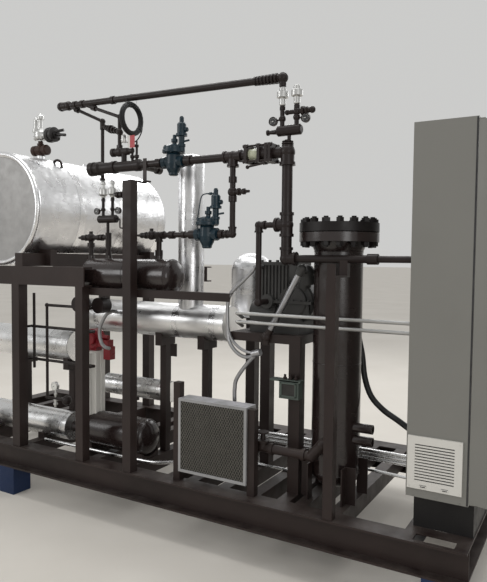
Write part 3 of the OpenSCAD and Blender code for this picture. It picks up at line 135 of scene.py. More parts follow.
# %% Finishes
class Finish:
    """One material: a Principled shader, and the few kinds of node that these finishes use."""

    def __init__(self, name, roughness=0.5, metallic=0.0, **constants):
        self.material = bpy.data.materials.new(name)
        self.material.use_nodes = True
        self.tree = self.material.node_tree
        self.tree.nodes.clear()
        self.shader = self.tree.nodes.new("ShaderNodeBsdfPrincipled")
        output = self.tree.nodes.new("ShaderNodeOutputMaterial")
        self.tree.links.new(self.shader.outputs[0], output.inputs["Surface"])
        self.set("Roughness", roughness)
        self.set("Metallic", metallic)
        for key, value in constants.items():
            self.set(key.replace("_", " "), value)
        self.place = self.node("ShaderNodeTexCoord", output="Object")

    def node(self, kind, settings=None, inputs=None, output=0):
        """Adds a node, sets its settings first and then its inputs, and gives one output."""
        made = self.tree.nodes.new(kind)
        for key, value in (settings or {}).items():
            setattr(made, key, value)
        for key, value in (inputs or {}).items():
            if isinstance(value, Sock):
                self.tree.links.new(value.socket, made.inputs[key])
            else:
                made.inputs[key].default_value = value
        return Sock(self, made.outputs[output])

    def set(self, key, value):
        """Links a socket, or writes a constant, to an input of the shader."""
        if isinstance(value, Sock):
            self.tree.links.new(value.socket, self.shader.inputs[key])
        elif isinstance(value, tuple) and len(value) == 3:
            self.shader.inputs[key].default_value = (*value, 1)
        else:
            self.shader.inputs[key].default_value = value

    def stretched(self, x, y, z):
        """Object coordinates multiplied along each axis, for grain, drips and brushing."""
        return self.node("ShaderNodeVectorMath", {"operation": "MULTIPLY"}, {0: self.place, 1: (x, y, z)})

    def noise(self, scale, detail=4.0, roughness=0.55, distortion=0.0, at=None):
        return self.node("ShaderNodeTexNoise", {},
                         {"Vector": at or self.place, "Scale": scale, "Detail": detail,
                          "Roughness": roughness, "Distortion": distortion})

    def cells(self, scale, at):
        """Rounded cells, as of pebbles."""
        return self.node("ShaderNodeTexVoronoi", {"feature": "SMOOTH_F1"}, {"Vector": at, "Scale": scale})

    def between(self, value, low, high, to_low=0.0, to_high=1.0):
        """Stretches value from low..high to to_low..to_high, and clamps it there."""
        return self.node("ShaderNodeMapRange", {"clamp": True},
                         {"Value": value, "From Min": low, "From Max": high, "To Min": to_low,
                          "To Max": to_high})

    def blend(self, share, first, second):
        as_colour = [(*c, 1) if isinstance(c, tuple) else c for c in (first, second)]
        return self.node("ShaderNodeMix", {"data_type": "RGBA"},
                         {"Factor": share, 6: as_colour[0], 7: as_colour[1]}, output=2)

    def bump(self, height, strength, distance, under=None):
        links = {"Height": height, "Strength": strength, "Distance": distance}
        if under:
            links["Normal"] = under
        return self.node("ShaderNodeBump", {}, links)

    def axis(self, k):
        """The place along X, Y or Z in metres, as a number."""
        return self.node("ShaderNodeSeparateXYZ", {}, {0: self.place}, output=k)

    def rough(self, scale, detail, low, high):
        """Lets the roughness drift from low to high with a noise."""
        self.set("Roughness", self.between(self.noise(scale, detail), 0.3, 0.7, low, high))

    def facing_up(self):
        """0 on walls and undersides, 1 on top faces, from the surface's own direction."""
        normal = self.node("ShaderNodeNewGeometry", output="Normal")
        return self.between(self.node("ShaderNodeSeparateXYZ", {}, {0: normal}, output=2), 0.45, 0.95)


# %% [markdown]
# ## Paints
# The frame and pipes are sprayed dark brown-black in a workshop. Such a coat is thin: it pools a
# little, picks up pale dust on top faces, and shows scuffs where parts were handled. A picture
# could be wrapped round every pipe, but it would stretch at the elbows. So each paint here is
# one colour with three masks over it: slow colour drift, dust and scuffs. The same recipe with
# other colours gives the valves' enamel, the red pump and the blue blocks.

# %% Painted steel
def times(colour, factor, plus=0.0):
    """The same colour, darker or lighter."""
    return tuple(min(1.0, c * factor + plus) for c in colour)


def painted(name, colour, dust_and_sheen_colour, roughness=0.42, dust_and_sheen=0.30, scuffs=0.15, grain=420.0, shine=0.28):
    coat = Finish(name, Specular_IOR_Level=shine)
    drift = coat.between(coat.noise(2.3, 3.0), 0.3, 0.7)
    pooled = coat.blend(drift, times(colour, 0.75), times(colour, 1.25))
    speckle = coat.between(coat.noise(38.0, 6.0, 0.7), 0.52, 0.78)
    # On top faces: dust, and on the zinc sheet with its pale bluish top colour, also a painted sheen
    settled_dust_and_sheen = coat.facing_up() * coat.between(coat.noise(9.0, 5.0), 0.35, 0.7) * dust_and_sheen
    drawn_out = coat.stretched(1, 1, 0.35)
    scuff = coat.between(coat.noise(16.0, 8.0, 0.75, 0.6, at=drawn_out), 0.63, 0.7) * scuffs
    dust_and_sheen_coat = coat.blend(settled_dust_and_sheen + speckle * (0.08 * dust_and_sheen), pooled, dust_and_sheen_colour)
    coat.set("Base Color", coat.blend(scuff, dust_and_sheen_coat, times(colour, 2.2, 0.02)))
    coat.set("Roughness", coat.between(coat.noise(14.0, 5.0), 0.3, 0.75, roughness - 0.08, roughness + 0.14)
             + settled_dust_and_sheen * 0.25)
    skin = coat.bump(coat.noise(grain, 2.0), 0.10, 0.0006)
    coat.set("Normal", coat.bump(coat.noise(6.0, 3.0), 0.15, 0.004, under=skin))
    return coat.material


DUST = (0.16, 0.14, 0.125)
steel_brown = painted("steel_brown_paint", (0.0235, 0.0155, 0.0138), DUST, dust_and_sheen=0.28)
pipe_black = painted("pipe_black_paint", (0.0165, 0.0112, 0.0105), (0.12, 0.11, 0.10), roughness=0.36,
                     dust_and_sheen=0.22)
glossy_brown = painted("glossy_brown_paint", (0.0175, 0.0110, 0.0102), DUST, roughness=0.20, dust_and_sheen=0.12,
                       shine=0.60)
valve_blue = painted("valve_blue_enamel", (0.0055, 0.0200, 0.0310), (0.12, 0.15, 0.17), roughness=0.30,
                     dust_and_sheen=0.15, shine=0.40)
machine_grey = painted("machine_grey_enamel", (0.050, 0.049, 0.047), (0.20, 0.19, 0.18), roughness=0.45,
                       dust_and_sheen=0.35)
valve_brown = painted("valve_brown_paint", (0.040, 0.018, 0.012), DUST, roughness=0.40, dust_and_sheen=0.25)
block_blue = painted("block_blue_paint", (0.010, 0.024, 0.070), DUST, roughness=0.6, dust_and_sheen=0.4, scuffs=0.4)
cover_black = painted("cover_black_paint", (0.0080, 0.0062, 0.0060), (0.07, 0.065, 0.06), roughness=0.38,
                      dust_and_sheen=0.10)
# This black also paints the shade in the rail pocket beside the packing plate
plinth_black = painted("plinth_black_and_pocket_shade", (0.012, 0.011, 0.011), DUST, roughness=0.5, dust_and_sheen=0.25)
pump_red = painted("pump_red_enamel", (0.15, 0.004, 0.009), (0.24, 0.13, 0.12), roughness=0.32, dust_and_sheen=0.15,
                   shine=0.35)
print("paints:", steel_brown.name, pipe_black.name, glossy_brown.name)

# %% [markdown]
# ## Sheet-metal powder coat
# The cabinet is powder coated: an even mid grey with a fine orange-peel surface, no grain, and
# only faint hand marks. The paint above would give it dust and scuffs that it doesn't have, so
# it gets a simpler recipe of its own.

# %% Cabinet paint
def powder_coat(name, colour, roughness):
    coat = Finish(name)
    marks = coat.between(coat.noise(3.1, 6.0, 0.6), 0.45, 0.75)
    coat.set("Base Color", coat.blend(marks * 0.35, colour, times(colour, 0.86)))
    coat.rough(7.0, 4.0, roughness - 0.05, roughness + 0.08)
    peel = coat.bump(coat.noise(700.0, 1.0), 0.06, 0.0004)
    coat.set("Normal", coat.bump(coat.noise(1.6, 1.0), 0.05, 0.01, under=peel))
    return coat.material


cabinet_grey = powder_coat("cabinet_grey_coat", (0.181, 0.178, 0.162), 0.42)
cream = powder_coat("cream_plastic", (0.60, 0.585, 0.545), 0.55)
print("powder coats:", cabinet_grey.name, cream.name)

# %% [markdown]
# ## Foil and bright metal
# The tank and the hot lines are wrapped in thin aluminium over insulation. The sheet is a soft
# mirror with a pebbled skin: its colour is almost flat, and its look comes from shallow dents of
# several sizes. The large ones are real geometry, made below; the fine ones are a bump here.
# The dents are drawn out along the axis of what the foil is wrapped round.

# %% Foil
def foil_finish(name, shade, roughness, crease, along):
    foil = Finish(name, metallic=1.0)
    patches = foil.between(foil.noise(5.0, 5.0, 0.6), 0.3, 0.7)
    foil.set("Base Color", foil.blend(patches, times(shade, 0.84), shade))
    foil.set("Roughness", foil.between(foil.noise(17.0, 6.0, 0.65), 0.3, 0.75, roughness - 0.07,
                                       roughness + 0.12))
    streak = {"X": (0.25, 1, 1), "Y": (1, 0.25, 1), "Z": (1, 1, 0.25)}[along]
    pebbles = foil.cells(85.0, foil.stretched(*streak))
    dents = foil.noise(26.0, 5.0, 0.6, 0.4, at=foil.stretched(*streak))
    height = pebbles * 0.30 + dents * 0.80 + foil.noise(240.0, 3.0, 0.6) * 0.10
    foil.set("Normal", foil.bump(height, crease, 0.004))
    return foil.material


foil_tank = foil_finish("foil_tank", (0.80, 0.80, 0.81), 0.30, 0.42, "Y")
foil_end = foil_finish("foil_tank_end", (0.39, 0.385, 0.38), 0.55, 0.16, "Z")
foil_line = foil_finish("foil_line", (0.84, 0.84, 0.84), 0.28, 0.26, "X")
foil_main = foil_finish("foil_main", (0.97, 0.97, 0.97), 0.32, 0.13, "X")
foil_upright = foil_finish("foil_upright", (0.80, 0.80, 0.81), 0.30, 0.26, "Z")
foil_tape = foil_finish("foil_tape", (0.88, 0.88, 0.89), 0.24, 0.16, "Z")
print("foils:", foil_tank.name, foil_end.name, foil_line.name)


# %% [markdown]
# Valve bodies, tubes and mesh are bare metal with a light stain. The cooler's casing is zinc
# sheet, so dull that a paint suits it better than a mirror. Its strong pale bluish top is partly
# dust and partly a painted sheen: the light on its top is painted into its colour.

# %% Bright metal
def stained(metal, shade, stain):
    """A metal's colour under a cloudy darker stain."""
    cloud = metal.between(metal.noise(12.0, 6.0, 0.65), 0.35, 0.72)
    return metal.blend(cloud * stain, shade, times(shade, 0.55))


def bare_metal(name, shade, roughness, stain=0.25):
    metal = Finish(name, metallic=1.0)
    metal.set("Base Color", stained(metal, shade, stain))
    metal.rough(30.0, 4.0, roughness - 0.06, roughness + 0.10)
    metal.set("Normal", metal.bump(metal.noise(240.0, 3.0), 0.12, 0.0006))
    return metal.material


silver = bare_metal("dull_silver", (0.60, 0.60, 0.59), 0.36)
galvanised = bare_metal("galvanised_tube", (0.50, 0.50, 0.49), 0.45, 0.20)
bright_tube = bare_metal("bright_tube", (0.86, 0.86, 0.86), 0.24, 0.12)
mesh_steel = bare_metal("mesh_steel", (0.30, 0.29, 0.26), 0.45)
braid = bare_metal("braided_steel", (0.42, 0.42, 0.43), 0.38, 0.35)
# Its pale bluish top is a painted sheen, with some dust
zinc_sheet = painted("zinc_sheet", (0.27, 0.27, 0.27), (0.52, 0.51, 0.54), roughness=0.34, dust_and_sheen=0.9,
                     shine=0.7)
print("bare metals:", silver.name, galvanised.name, mesh_steel.name)


# %% [markdown]
# The tank's relief valve is one solid whose body is dull silver and whose outlet is dark. Its
# faces could be given two materials, but a comparison along X does the same in one finish, and
# the edge between them is then exactly where the outlet starts.

# %% Relief valve with its dark outlet
def silver_and_dark(name, edge_x, shade, dark):
    """Dull metal left of a place along X, dark paint right of it."""
    two = Finish(name)
    right = two.axis(0) > edge_x
    two.set("Base Color", two.blend(right, stained(two, shade, 0.3), dark))
    two.set("Metallic", 1.0 - right)
    two.rough(30.0, 4.0, 0.30, 0.45)
    two.set("Normal", two.bump(two.noise(240.0, 3.0), 0.12, 0.0006))
    return two.material


OUTLET_X = skid(-3236, 0, 0).x
relief_two_tone = silver_and_dark("relief_silver_and_dark", OUTLET_X, (0.60, 0.60, 0.59),
                                  (0.014, 0.012, 0.012))
print("two-tone:", relief_two_tone.name)


# %% [markdown]
# The sight glass has a pale, clouded barrel. Nothing shows through it, so it needs no real
# transparency, only a pale colour under a smooth coat. A tag hangs under the coil, white at its
# left third and red at its right, split by the same comparison as the valve.

# %% Pale glass and the hanging tag
def clouded_glass(name, colour):
    glass = Finish(name, roughness=0.18, Specular_IOR_Level=0.6)
    glass.set("Base Color", glass.blend(glass.between(glass.noise(24.0, 5.0), 0.4, 0.7), colour,
                                        times(colour, 0.7)))
    return glass.material


def split_tag(name, edge_x, left, right):
    """A plain tag, one colour left of a place along X and another right of it."""
    tag = Finish(name, roughness=0.5)
    faded = tag.between(tag.noise(30.0, 3.0), 0.4, 0.7) * 0.2
    two = tag.blend(tag.axis(0) > edge_x, left, right)
    tag.set("Base Color", tag.blend(faded, two, (0.30, 0.28, 0.26)))
    return tag.material


pale_glass = clouded_glass("pale_glass", (0.52, 0.54, 0.40))
tag_low, tag_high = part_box("coil_tag")
WHITE_SHARE = 0.34
tag_edge = tag_low.x + (tag_high.x - tag_low.x) * WHITE_SHARE
tag_paint = split_tag("tag_white_and_red", tag_edge, (0.62, 0.60, 0.58), (0.40, 0.03, 0.04))
print("glass and tag:", pale_glass.name, tag_paint.name)


# %% [markdown]
# Hoses, cable and straps are rubber, darkest on the cable. The finned core behind the cooler's
# mesh is painted very dark as the shade deep between its fins, a matt depth, so it takes the same
# recipe.

# %% Rubber and core
def plain_rubber(name, colour, roughness, bloom=0.01):
    rubber = Finish(name)
    rubber.set("Base Color", rubber.blend(rubber.between(rubber.noise(20.0, 5.0), 0.4, 0.7), colour,
                                          times(colour, 1.9, bloom)))
    rubber.rough(40.0, 3.0, roughness - 0.08, roughness + 0.1)
    rubber.set("Normal", rubber.bump(rubber.noise(320.0, 2.0), 0.15, 0.0005))
    return rubber.material


# This black rubber also paints the shade in the cabinet's door gap, grille slots and latch gaps
hose_black = plain_rubber("black_rubber_and_gap_shade", (0.012, 0.012, 0.013), 0.42)
cable_black = plain_rubber("cable_black_rubber", (0.0045, 0.0045, 0.0050), 0.50, 0.002)
# Painted shade: the dark depth of the cooler's fins, and of the junction box's frame
core_dark = plain_rubber("dark_painted_depth_shade", (0.011, 0.010, 0.008), 0.6)
print("rubber and core:", hose_black.name, cable_black.name, core_dark.name)

# %% [markdown]
# ## Which solid gets which finish
# The record names a material slot for each solid, and each slot has one finish here. A few
# solids then take a finish of their own, where their slot is shared by unlike surfaces.

# %% Paint the solids
SLOT_FINISH = {
    "steel_brown": steel_brown,
    "pipe_black": pipe_black,
    "foil": foil_line,
    "valve_blue": valve_blue,
    "silver": silver,
    "cabinet_grey": cabinet_grey,
    "cream": cream,
    "red": pump_red,
    "machine_grey": machine_grey,
    "pale_glass": pale_glass,
    "block_blue": block_blue,
    "hose_black": hose_black,
    "core_dark": core_dark,
    "plinth_black": plinth_black,
}
for part in frame["record"]["subparts"]:
    solid = nodes[part["node"]]
    solid.data.materials.clear()
    solid.data.materials.append(SLOT_FINISH[part["material_slot"]])
OWN_FINISH = {
    "conduits": galvanised,
    "silver_tubes": bright_tube,
    "flexible_hoses": braid,
    "cooler_frame": zinc_sheet,
    "tank_near_cap": foil_end,
    "tank_shell": foil_tank,
    "tank_far_head": foil_tank,
    "insulated_riser": foil_upright,
    "insulated_main": foil_main,
    "foil_receiver": foil_upright,
    "drum_shell": glossy_brown,
    "vessel_shell": glossy_brown,
    "brown_receiver": glossy_brown,
    "vessel_cover": cover_black,
    "vessel_studs": cover_black,
    "tank_stop_valve": valve_brown,
    "tank_relief_valve": relief_two_tone,
    "coil_tag": tag_paint,
}
for name, finish in OWN_FINISH.items():
    nodes[name].data.materials[0] = finish


# %% [markdown]
# ## Modelling helpers
# A finished piece has its place in its mesh and its object at the origin. These helpers apply
# the place, name the piece, give it a finish and let it ride with its body.

# %% Modelling helpers
def apply_place():
    bpy.ops.object.transform_apply(location=True, rotation=True, scale=True)


def settle(name, finish, body="frame", smooth=None):
    piece = bpy.context.object
    piece.name = name
    apply_place()
    if smooth is not None:
        bpy.ops.object.shade_smooth_by_angle(angle=math.radians(smooth))
    piece.data.materials.clear()
    piece.data.materials.append(finish)
    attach(piece, body)
    piece.select_set(False)
    return piece


# %% [markdown]
# Foil and weld beads need skins that are a little uneven. An edge is chosen by its place, never
# by its number, so that it is still the right one when a size changes. A noise texture then
# pushes the skin out through a Displace modifier, which is quicker and more even than moving
# points by hand.

# %% Chosen edges and crumpled skin
def select_edges(piece, test):
    """In edit mode: selects the edges whose two ends pass the test."""
    bpy.ops.mesh.select_mode(type="EDGE")
    bpy.ops.mesh.select_all(action="DESELECT")
    bpy.ops.object.mode_set(mode="OBJECT")
    points = piece.data.vertices
    for edge in piece.data.edges:
        edge.select = test(points[edge.vertices[0]].co, points[edge.vertices[1]].co)
    bpy.ops.object.mode_set(mode="EDIT")


def crumple(piece, texture_kind, size, depth, **settings):
    """Pushes the skin out by a procedural texture, so that creases are real geometry."""
    texture = bpy.data.textures.new(piece.name + "_" + texture_kind.lower(), texture_kind)
    texture.noise_scale = size
    for key, value in settings.items():
        setattr(texture, key, value)
    push = piece.modifiers.new("crumple", "DISPLACE")
    push.texture = texture
    push.texture_coords = "LOCAL"
    push.mid_level = 0.0
    push.strength = depth
    bpy.ops.object.modifier_apply(modifier=push.name)


# %% [markdown]
# Small fittings are blocks and bars that are joined into one piece. The bevel comes after the
# joining, so one modifier takes the sharp edges off all of them.

# %% Blocks, bars and joined pieces
def block(size, place, turn=(0.0, 0.0, 0.0)):
    """A box, sized in millimetres, with its middle at a place."""
    bpy.ops.mesh.primitive_cube_add(size=0.001, location=place, rotation=turn)
    made = bpy.context.object
    made.scale = size
    apply_place()
    return made


def bar(start, end, radius, sides=16):
    """A round bar between two places, its radius in millimetres."""
    way = end - start
    turn = way.to_track_quat("Z", "Y").to_euler()
    bpy.ops.mesh.primitive_cylinder_add(vertices=sides, radius=radius / 1000, depth=way.length,
                                        location=(start + end) / 2, rotation=turn)
    apply_place()
    return bpy.context.object


def join_as(pieces, name, finish, body="frame", smooth=None, rounded=0.0):
    """Joins pieces into one, takes the sharp edges off, and settles it."""
    bpy.ops.object.select_all(action="DESELECT")
    for piece in pieces:
        piece.select_set(True)
    bpy.context.view_layer.objects.active = pieces[0]
    bpy.ops.object.join()
    if rounded:
        edge = bpy.context.object.modifiers.new("rounded", "BEVEL")
        edge.width, edge.segments, edge.limit_method = rounded / 1000, 2, "ANGLE"
        bpy.ops.object.modifier_apply(modifier=edge.name)
    return settle(name, finish, body, smooth)


# %% [markdown]
# A foil sleeve is an open cylinder. Its long edges are cut many times, because a skin can only
# be dented where it has points. Two noises follow, one with wide soft dents and one with small
# hard creases.

# %% Dented sleeve
# How a primitive is turned so that its own Z lies along each axis
AXIS_TURN = {"X": (0, math.pi / 2, 0), "Y": (math.pi / 2, 0, 0), "Z": (0, 0, 0)}
AXIS_INDEX = {"X": 0, "Y": 1, "Z": 2}


def foil_sleeve(name, axis, centre, radius, low, high, sides, cuts, finish, depth, crease):
    """A dented open tube of foil around axis, from low to high along it.

    depth is how far its dents push it out, and crease about how far apart they lie.
    """
    middle = list(centre)
    middle[AXIS_INDEX[axis]] = (low + high) / 2
    bpy.ops.mesh.primitive_cylinder_add(vertices=sides, radius=radius, depth=high - low,
                                        end_fill_type="NOTHING", location=middle, rotation=AXIS_TURN[axis])
    sleeve = bpy.context.object
    sleeve.name = name
    apply_place()
    bpy.ops.object.mode_set(mode="EDIT")
    k = AXIS_INDEX[axis]
    select_edges(sleeve, lambda a, b: abs(a[k] - b[k]) > (high - low) / 2)
    bpy.ops.mesh.subdivide(number_cuts=cuts)
    bpy.ops.object.mode_set(mode="OBJECT")
    crumple(sleeve, "CLOUDS", crease * 2.4, depth, noise_depth=2)
    crumple(sleeve, "CLOUDS", crease * 0.5, depth * 0.45, noise_type="HARD_NOISE", noise_depth=1)
    return settle(name, finish, smooth=60)


# %% [markdown]
# ## The tank's foil jacket
# On the real tank the sheet is wrapped round mineral wool and taped. It never lies flat, so the
# jacket is a fine tube whose surface is pushed out a few millimetres by two noise textures.
# Three taped joints run round it, and a rolled rim closes it at the flat end. The end itself is
# a disc of rings, inset one in the other, so that it can bulge a little too.

# %% Tank jacket
TANK_SIDES = 300
TANK_DENTS = {"depth": 0.0052, "crease": 0.10}
FOIL_GAP = 0.0006
TAPE_GAP = 0.0014
TAPE_HALF = 0.030
cap_low, cap_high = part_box("tank_near_cap")
tank_x = (cap_low.x + cap_high.x) / 2
tank_z = (cap_low.z + cap_high.z) / 2
tank_r = (cap_high.z - cap_low.z) / 2
tank_centre = (tank_x, 0, tank_z)
tank_start, tank_end = cap_low.y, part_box("tank_shell")[1].y
jacket = foil_sleeve("tank_jacket", "Y", tank_centre, tank_r + FOIL_GAP, tank_start + 0.004, tank_end,
                     TANK_SIDES, cuts=110, finish=foil_tank, **TANK_DENTS)
for k, share in enumerate((0.30, 0.62, 0.97)):
    y = tank_start + (tank_end - tank_start) * share
    foil_sleeve("tank_tape_%d" % (k + 1), "Y", tank_centre, tank_r + TAPE_GAP, y - TAPE_HALF, y + TAPE_HALF,
                TANK_SIDES, cuts=5, finish=foil_tape, **TANK_DENTS)
print("tank jacket:", len(jacket.data.polygons), "faces")

# %% Tank rim and end disc
RIM_BEAD = 0.021
RINGS = 22
bpy.ops.mesh.primitive_torus_add(major_segments=200, minor_segments=20,
                                 major_radius=tank_r - RIM_BEAD + 0.004, minor_radius=RIM_BEAD,
                                 location=(tank_x, tank_start + 0.006, tank_z), rotation=AXIS_TURN["Y"])
rim = settle("tank_rim", foil_tape, smooth=60)
crumple(rim, "CLOUDS", 0.06, 0.003)
bpy.ops.mesh.primitive_circle_add(vertices=160, radius=tank_r, fill_type="NGON",
                                  location=(tank_x, tank_start - 0.0005, tank_z), rotation=AXIS_TURN["Y"])
disc = bpy.context.object
disc.name = "tank_end_disc"
apply_place()
bpy.ops.object.mode_set(mode="EDIT")
bpy.ops.mesh.select_all(action="SELECT")
for step in range(RINGS):
    bpy.ops.mesh.inset(thickness=tank_r / (RINGS + 1.2))
bpy.ops.object.mode_set(mode="OBJECT")
crumple(disc, "CLOUDS", 0.30, 0.003, noise_depth=1)
disc = settle("tank_end_disc", foil_end, smooth=60)
print("tank end disc:", len(disc.data.polygons), "faces")

# %% [markdown]
# ## Foil on the lines
# Every hot line has the same wrapping as the tank, only tighter. Each one is given by its axis,
# its middle line, its radius and its two ends, in millimetres from the skid's corner. The number
# of millimetres that the dents stand out is smallest on the main line, which is drawn tightest.

# %% Foil on the lines
LINES = (
    # name, axis, middle, radius, start, end, finish, depth of its dents, places of the tapes
    ("insulated_main", "X", (0, 500, 1275), 115, -2859, -1571, foil_main, 1.6, (0.16, 0.42, 0.70, 0.93)),
    ("return_line", "X", (0, 680, 725), 74, -2799, -2181, foil_line, 2.4, (0.2, 0.72)),
    ("insulated_riser", "Z", (-1895, 500, 0), 84, 1400, 2359, foil_upright, 3.0, (0.25, 0.60, 0.96)),
    ("lower_exchanger", "X", (0, 300, 473), 98, -4059, -2776, foil_line, 3.0, (0.10, 0.36, 0.64, 0.95)),
    ("upper_exchanger", "X", (0, 560, 1012), 122, -4059, -3001, foil_line, 3.0, (0.12, 0.45, 0.78)),
    ("foil_receiver", "Z", (-1620, 850, 0), 142, 1327, 1629, foil_upright, 3.0, (0.5,)),
)


LINE_CREASE = 0.07
LINE_TAPE_HALF = 0.022


def wrap_line(name, axis, middle, radius, start, end, finish, dents, tapes, sides=120, cuts=70):
    """The foil of one line, and the tapes round it."""
    k = AXIS_INDEX[axis]
    centre = skid(*middle)
    low, high = (skid(*(p if i == k else 0 for i in range(3)))[k] for p in (start, end))
    r = radius / 1000
    sleeve = foil_sleeve(name + "_foil", axis, centre, r + FOIL_GAP, low, high, sides, cuts, finish,
                         dents / 1000, LINE_CREASE)
    for number, share in enumerate(tapes):
        at = low + (high - low) * share
        foil_sleeve("%s_tape_%d" % (name, number + 1), axis, centre, r + FOIL_GAP + 0.001,
                    at - LINE_TAPE_HALF, at + LINE_TAPE_HALF, sides, 3, foil_tape, dents / 1000,
                    LINE_CREASE)
    return sleeve


for line in LINES:
    sleeve = wrap_line(*line)
    print(sleeve.name, len(sleeve.data.polygons), "faces")

# %% [markdown]
# ## Cooler mesh
# The cooler's core is guarded by expanded metal, with diamonds higher than wide. It is made
# as thin strips in two directions, laid side by side, joined, cut to the opening and thickened.
# A plain sheet with a see-through pattern would be lighter, but flat in a close view.

# %% Cooler mesh
def diamond_mesh(name, low, high, y, pitch_x, pitch_z, wire):
    """Crossed thin strips that fill the upright rectangle from low to high at depth y."""
    width, height = high[0] - low[0], high[1] - low[1]
    slope = pitch_z / pitch_x
    strips = []
    for side in (-1, 1):
        count = int((width + height / slope) / pitch_x) + 2
        for i in range(count):
            x0 = low[0] - height / slope + i * pitch_x
            bpy.ops.mesh.primitive_plane_add(size=1,
                                             location=((low[0] + high[0]) / 2, y, (low[1] + high[1]) / 2))
            strip = bpy.context.object
            start = Vector((x0, y, low[1] if side > 0 else high[1]))
            end = start + Vector((height / slope, 0, height * side))
            corners = strip.data.vertices
            along = (end - start).normalized()
            across = along.cross(Vector((0, 1, 0))) * (wire / 2)
            for corner, point in zip(corners, (start - across, start + across, end - across, end + across)):
                corner.co = point - strip.location
            strips.append(strip)
    for strip in strips:
        strip.select_set(True)
    bpy.context.view_layer.objects.active = strips[0]
    bpy.ops.object.join()
    apply_place()
    bpy.ops.object.mode_set(mode="EDIT")
    for cut_x, away in ((low[0], -1), (high[0], 1)):
        bpy.ops.mesh.select_all(action="SELECT")
        bpy.ops.mesh.bisect(plane_co=(cut_x, 0, 0), plane_no=(away, 0, 0), clear_outer=True)
    bpy.ops.object.mode_set(mode="OBJECT")
    thick = bpy.context.object.modifiers.new("thickness", "SOLIDIFY")
    thick.thickness = wire
    bpy.ops.object.modifier_apply(modifier=thick.name)
    return settle(name, mesh_steel)


DIAMOND = {"pitch_x": 0.0173, "pitch_z": 0.0290, "wire": 0.0017}
core_low, core_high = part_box("cooler_core")
guard = diamond_mesh("cooler_guard", (core_low.x, core_low.z), (core_high.x, core_high.z),
                     core_low.y - 0.002, **DIAMOND)
print("cooler guard:", len(guard.data.polygons), "faces")

# %% [markdown]
# ## Pressure gauges
# Each relief group carries two small gauges whose cases are solid already. A dial is a dark disc
# with a ring of pale ticks and a needle. The ticks are thin blocks on a circle, so they stay
# sharp in a close view. The scale runs clockwise from the lower left, 270 degrees in all.

# %% Gauge dials
dial_white = powder_coat("dial_white", (0.70, 0.70, 0.66), 0.35)
dial_dark = powder_coat("dial_dark", (0.028, 0.028, 0.030), 0.25)
SCALE_START, SCALE_SWEEP, TICKS = 225, 270, 10
DIAL_Y = 190.6


def gauge_dial(name, face, radius, reading, paper=dial_dark, ink=dial_white):
    """A dial that faces the front; radius in millimetres, reading from 0 to 1 round its scale."""
    bpy.ops.mesh.primitive_cylinder_add(vertices=48, radius=radius / 1000, depth=0.0006, location=face,
                                        rotation=AXIS_TURN["Y"])
    bpy.ops.object.mode_set(mode="EDIT")
    bpy.ops.mesh.select_all(action="SELECT")
    bpy.ops.mesh.bevel(offset=0.0002, segments=1)
    bpy.ops.object.mode_set(mode="OBJECT")
    dial = settle(name + "_dial", paper, smooth=40)
    marks = []
    for k in range(TICKS + 1):
        angle = math.radians(SCALE_START - SCALE_SWEEP * k / TICKS)
        out = Vector((math.cos(angle), 0, math.sin(angle)))
        long = 0.24 if k % 5 == 0 else 0.15
        marks.append(block((radius * long, 0.5, 1.1), face + out * radius * (0.90 - long / 2) / 1000
                           + Vector((0, -0.0005, 0)), (0, -angle, 0)))
    angle = math.radians(SCALE_START - SCALE_SWEEP * reading)
    out = Vector((math.cos(angle), 0, math.sin(angle)))
    marks.append(block((radius * 0.85, 0.5, 1.3),
                       face + out * radius * 0.28 / 1000 + Vector((0, -0.0008, 0)), (0, -angle, 0)))
    marks.append(bar(face, face + Vector((0, -0.0014, 0)), radius * 0.12))
    join_as(marks, name + "_marks", ink, rounded=0.1)
    return dial


GAUGES = (
    # name, x, z, radius, reading
    ("top_gauge_left", -1127.5, 2466, 21.5, 0.12),
    ("top_gauge_right", -929.5, 2466, 21.5, 0.15),
    ("drum_gauge_left", -2456, 2008, 18.9, 0.10),
    ("drum_gauge_right", -2270, 2008, 18.9, 0.14),
)
for name, x, z, radius, reading in GAUGES:
    print(gauge_dial(name, skid(x, DIAL_Y, z), radius, reading).name)

# %% [markdown]
# ## Cabinet trim
# The dark line beside the door is painted shade: a thin black strip stands for the shade in the
# gap at the cabinet's open front. Black bars behind the filter grille's slots are painted shade in
# them too, and screws close the bottom seam. They are small and alike, so each row is one joined
# piece. Sizes are in millimetres.

# %% Painted shade in the door gap and the grille's slots
# A black strip: painted shade in the gap beside the door
door_gap_shade = join_as([block((8.0, 2.4, 1827), skid(-26.6, 119.6, 1446.5))], "cabinet_door_gap_shade",
                      hose_black, rounded=0.5)
SLOTS = {"left": -275, "wide": 188, "low": 618, "pitch": 14.5, "high": 6, "count": 13}
# Black bars behind the slots: painted shade
slot_shade_bars = []
for k in range(SLOTS["count"]):
    z = SLOTS["low"] + SLOTS["pitch"] * k + SLOTS["high"] / 2
    slot_shade_bars.append(block((SLOTS["wide"] - 0.6, 1.2, SLOTS["high"] - 0.4),
                         skid(SLOTS["left"] + SLOTS["wide"] / 2, 114.1, z)))
slot_shade = join_as(slot_shade_bars, "grille_slot_shade", hose_black, rounded=0.2)
print("door gap shade and slot shade:", len(door_gap_shade.data.polygons), len(slot_shade.data.polygons))


# %% Screws along the bottom seam
def screw_row(name, places, radius, finish):
    """Round-headed screws that face the front, each with a crossed recess."""
    heads = []
    for place in places:
        front = place + Vector((0, -0.0022, 0))
        heads += [bar(place, front, radius), block((radius * 1.3, 0.4, 0.9), front),
                  block((0.9, 0.4, radius * 1.3), front)]
    return join_as(heads, name, finish, smooth=40, rounded=0.3)


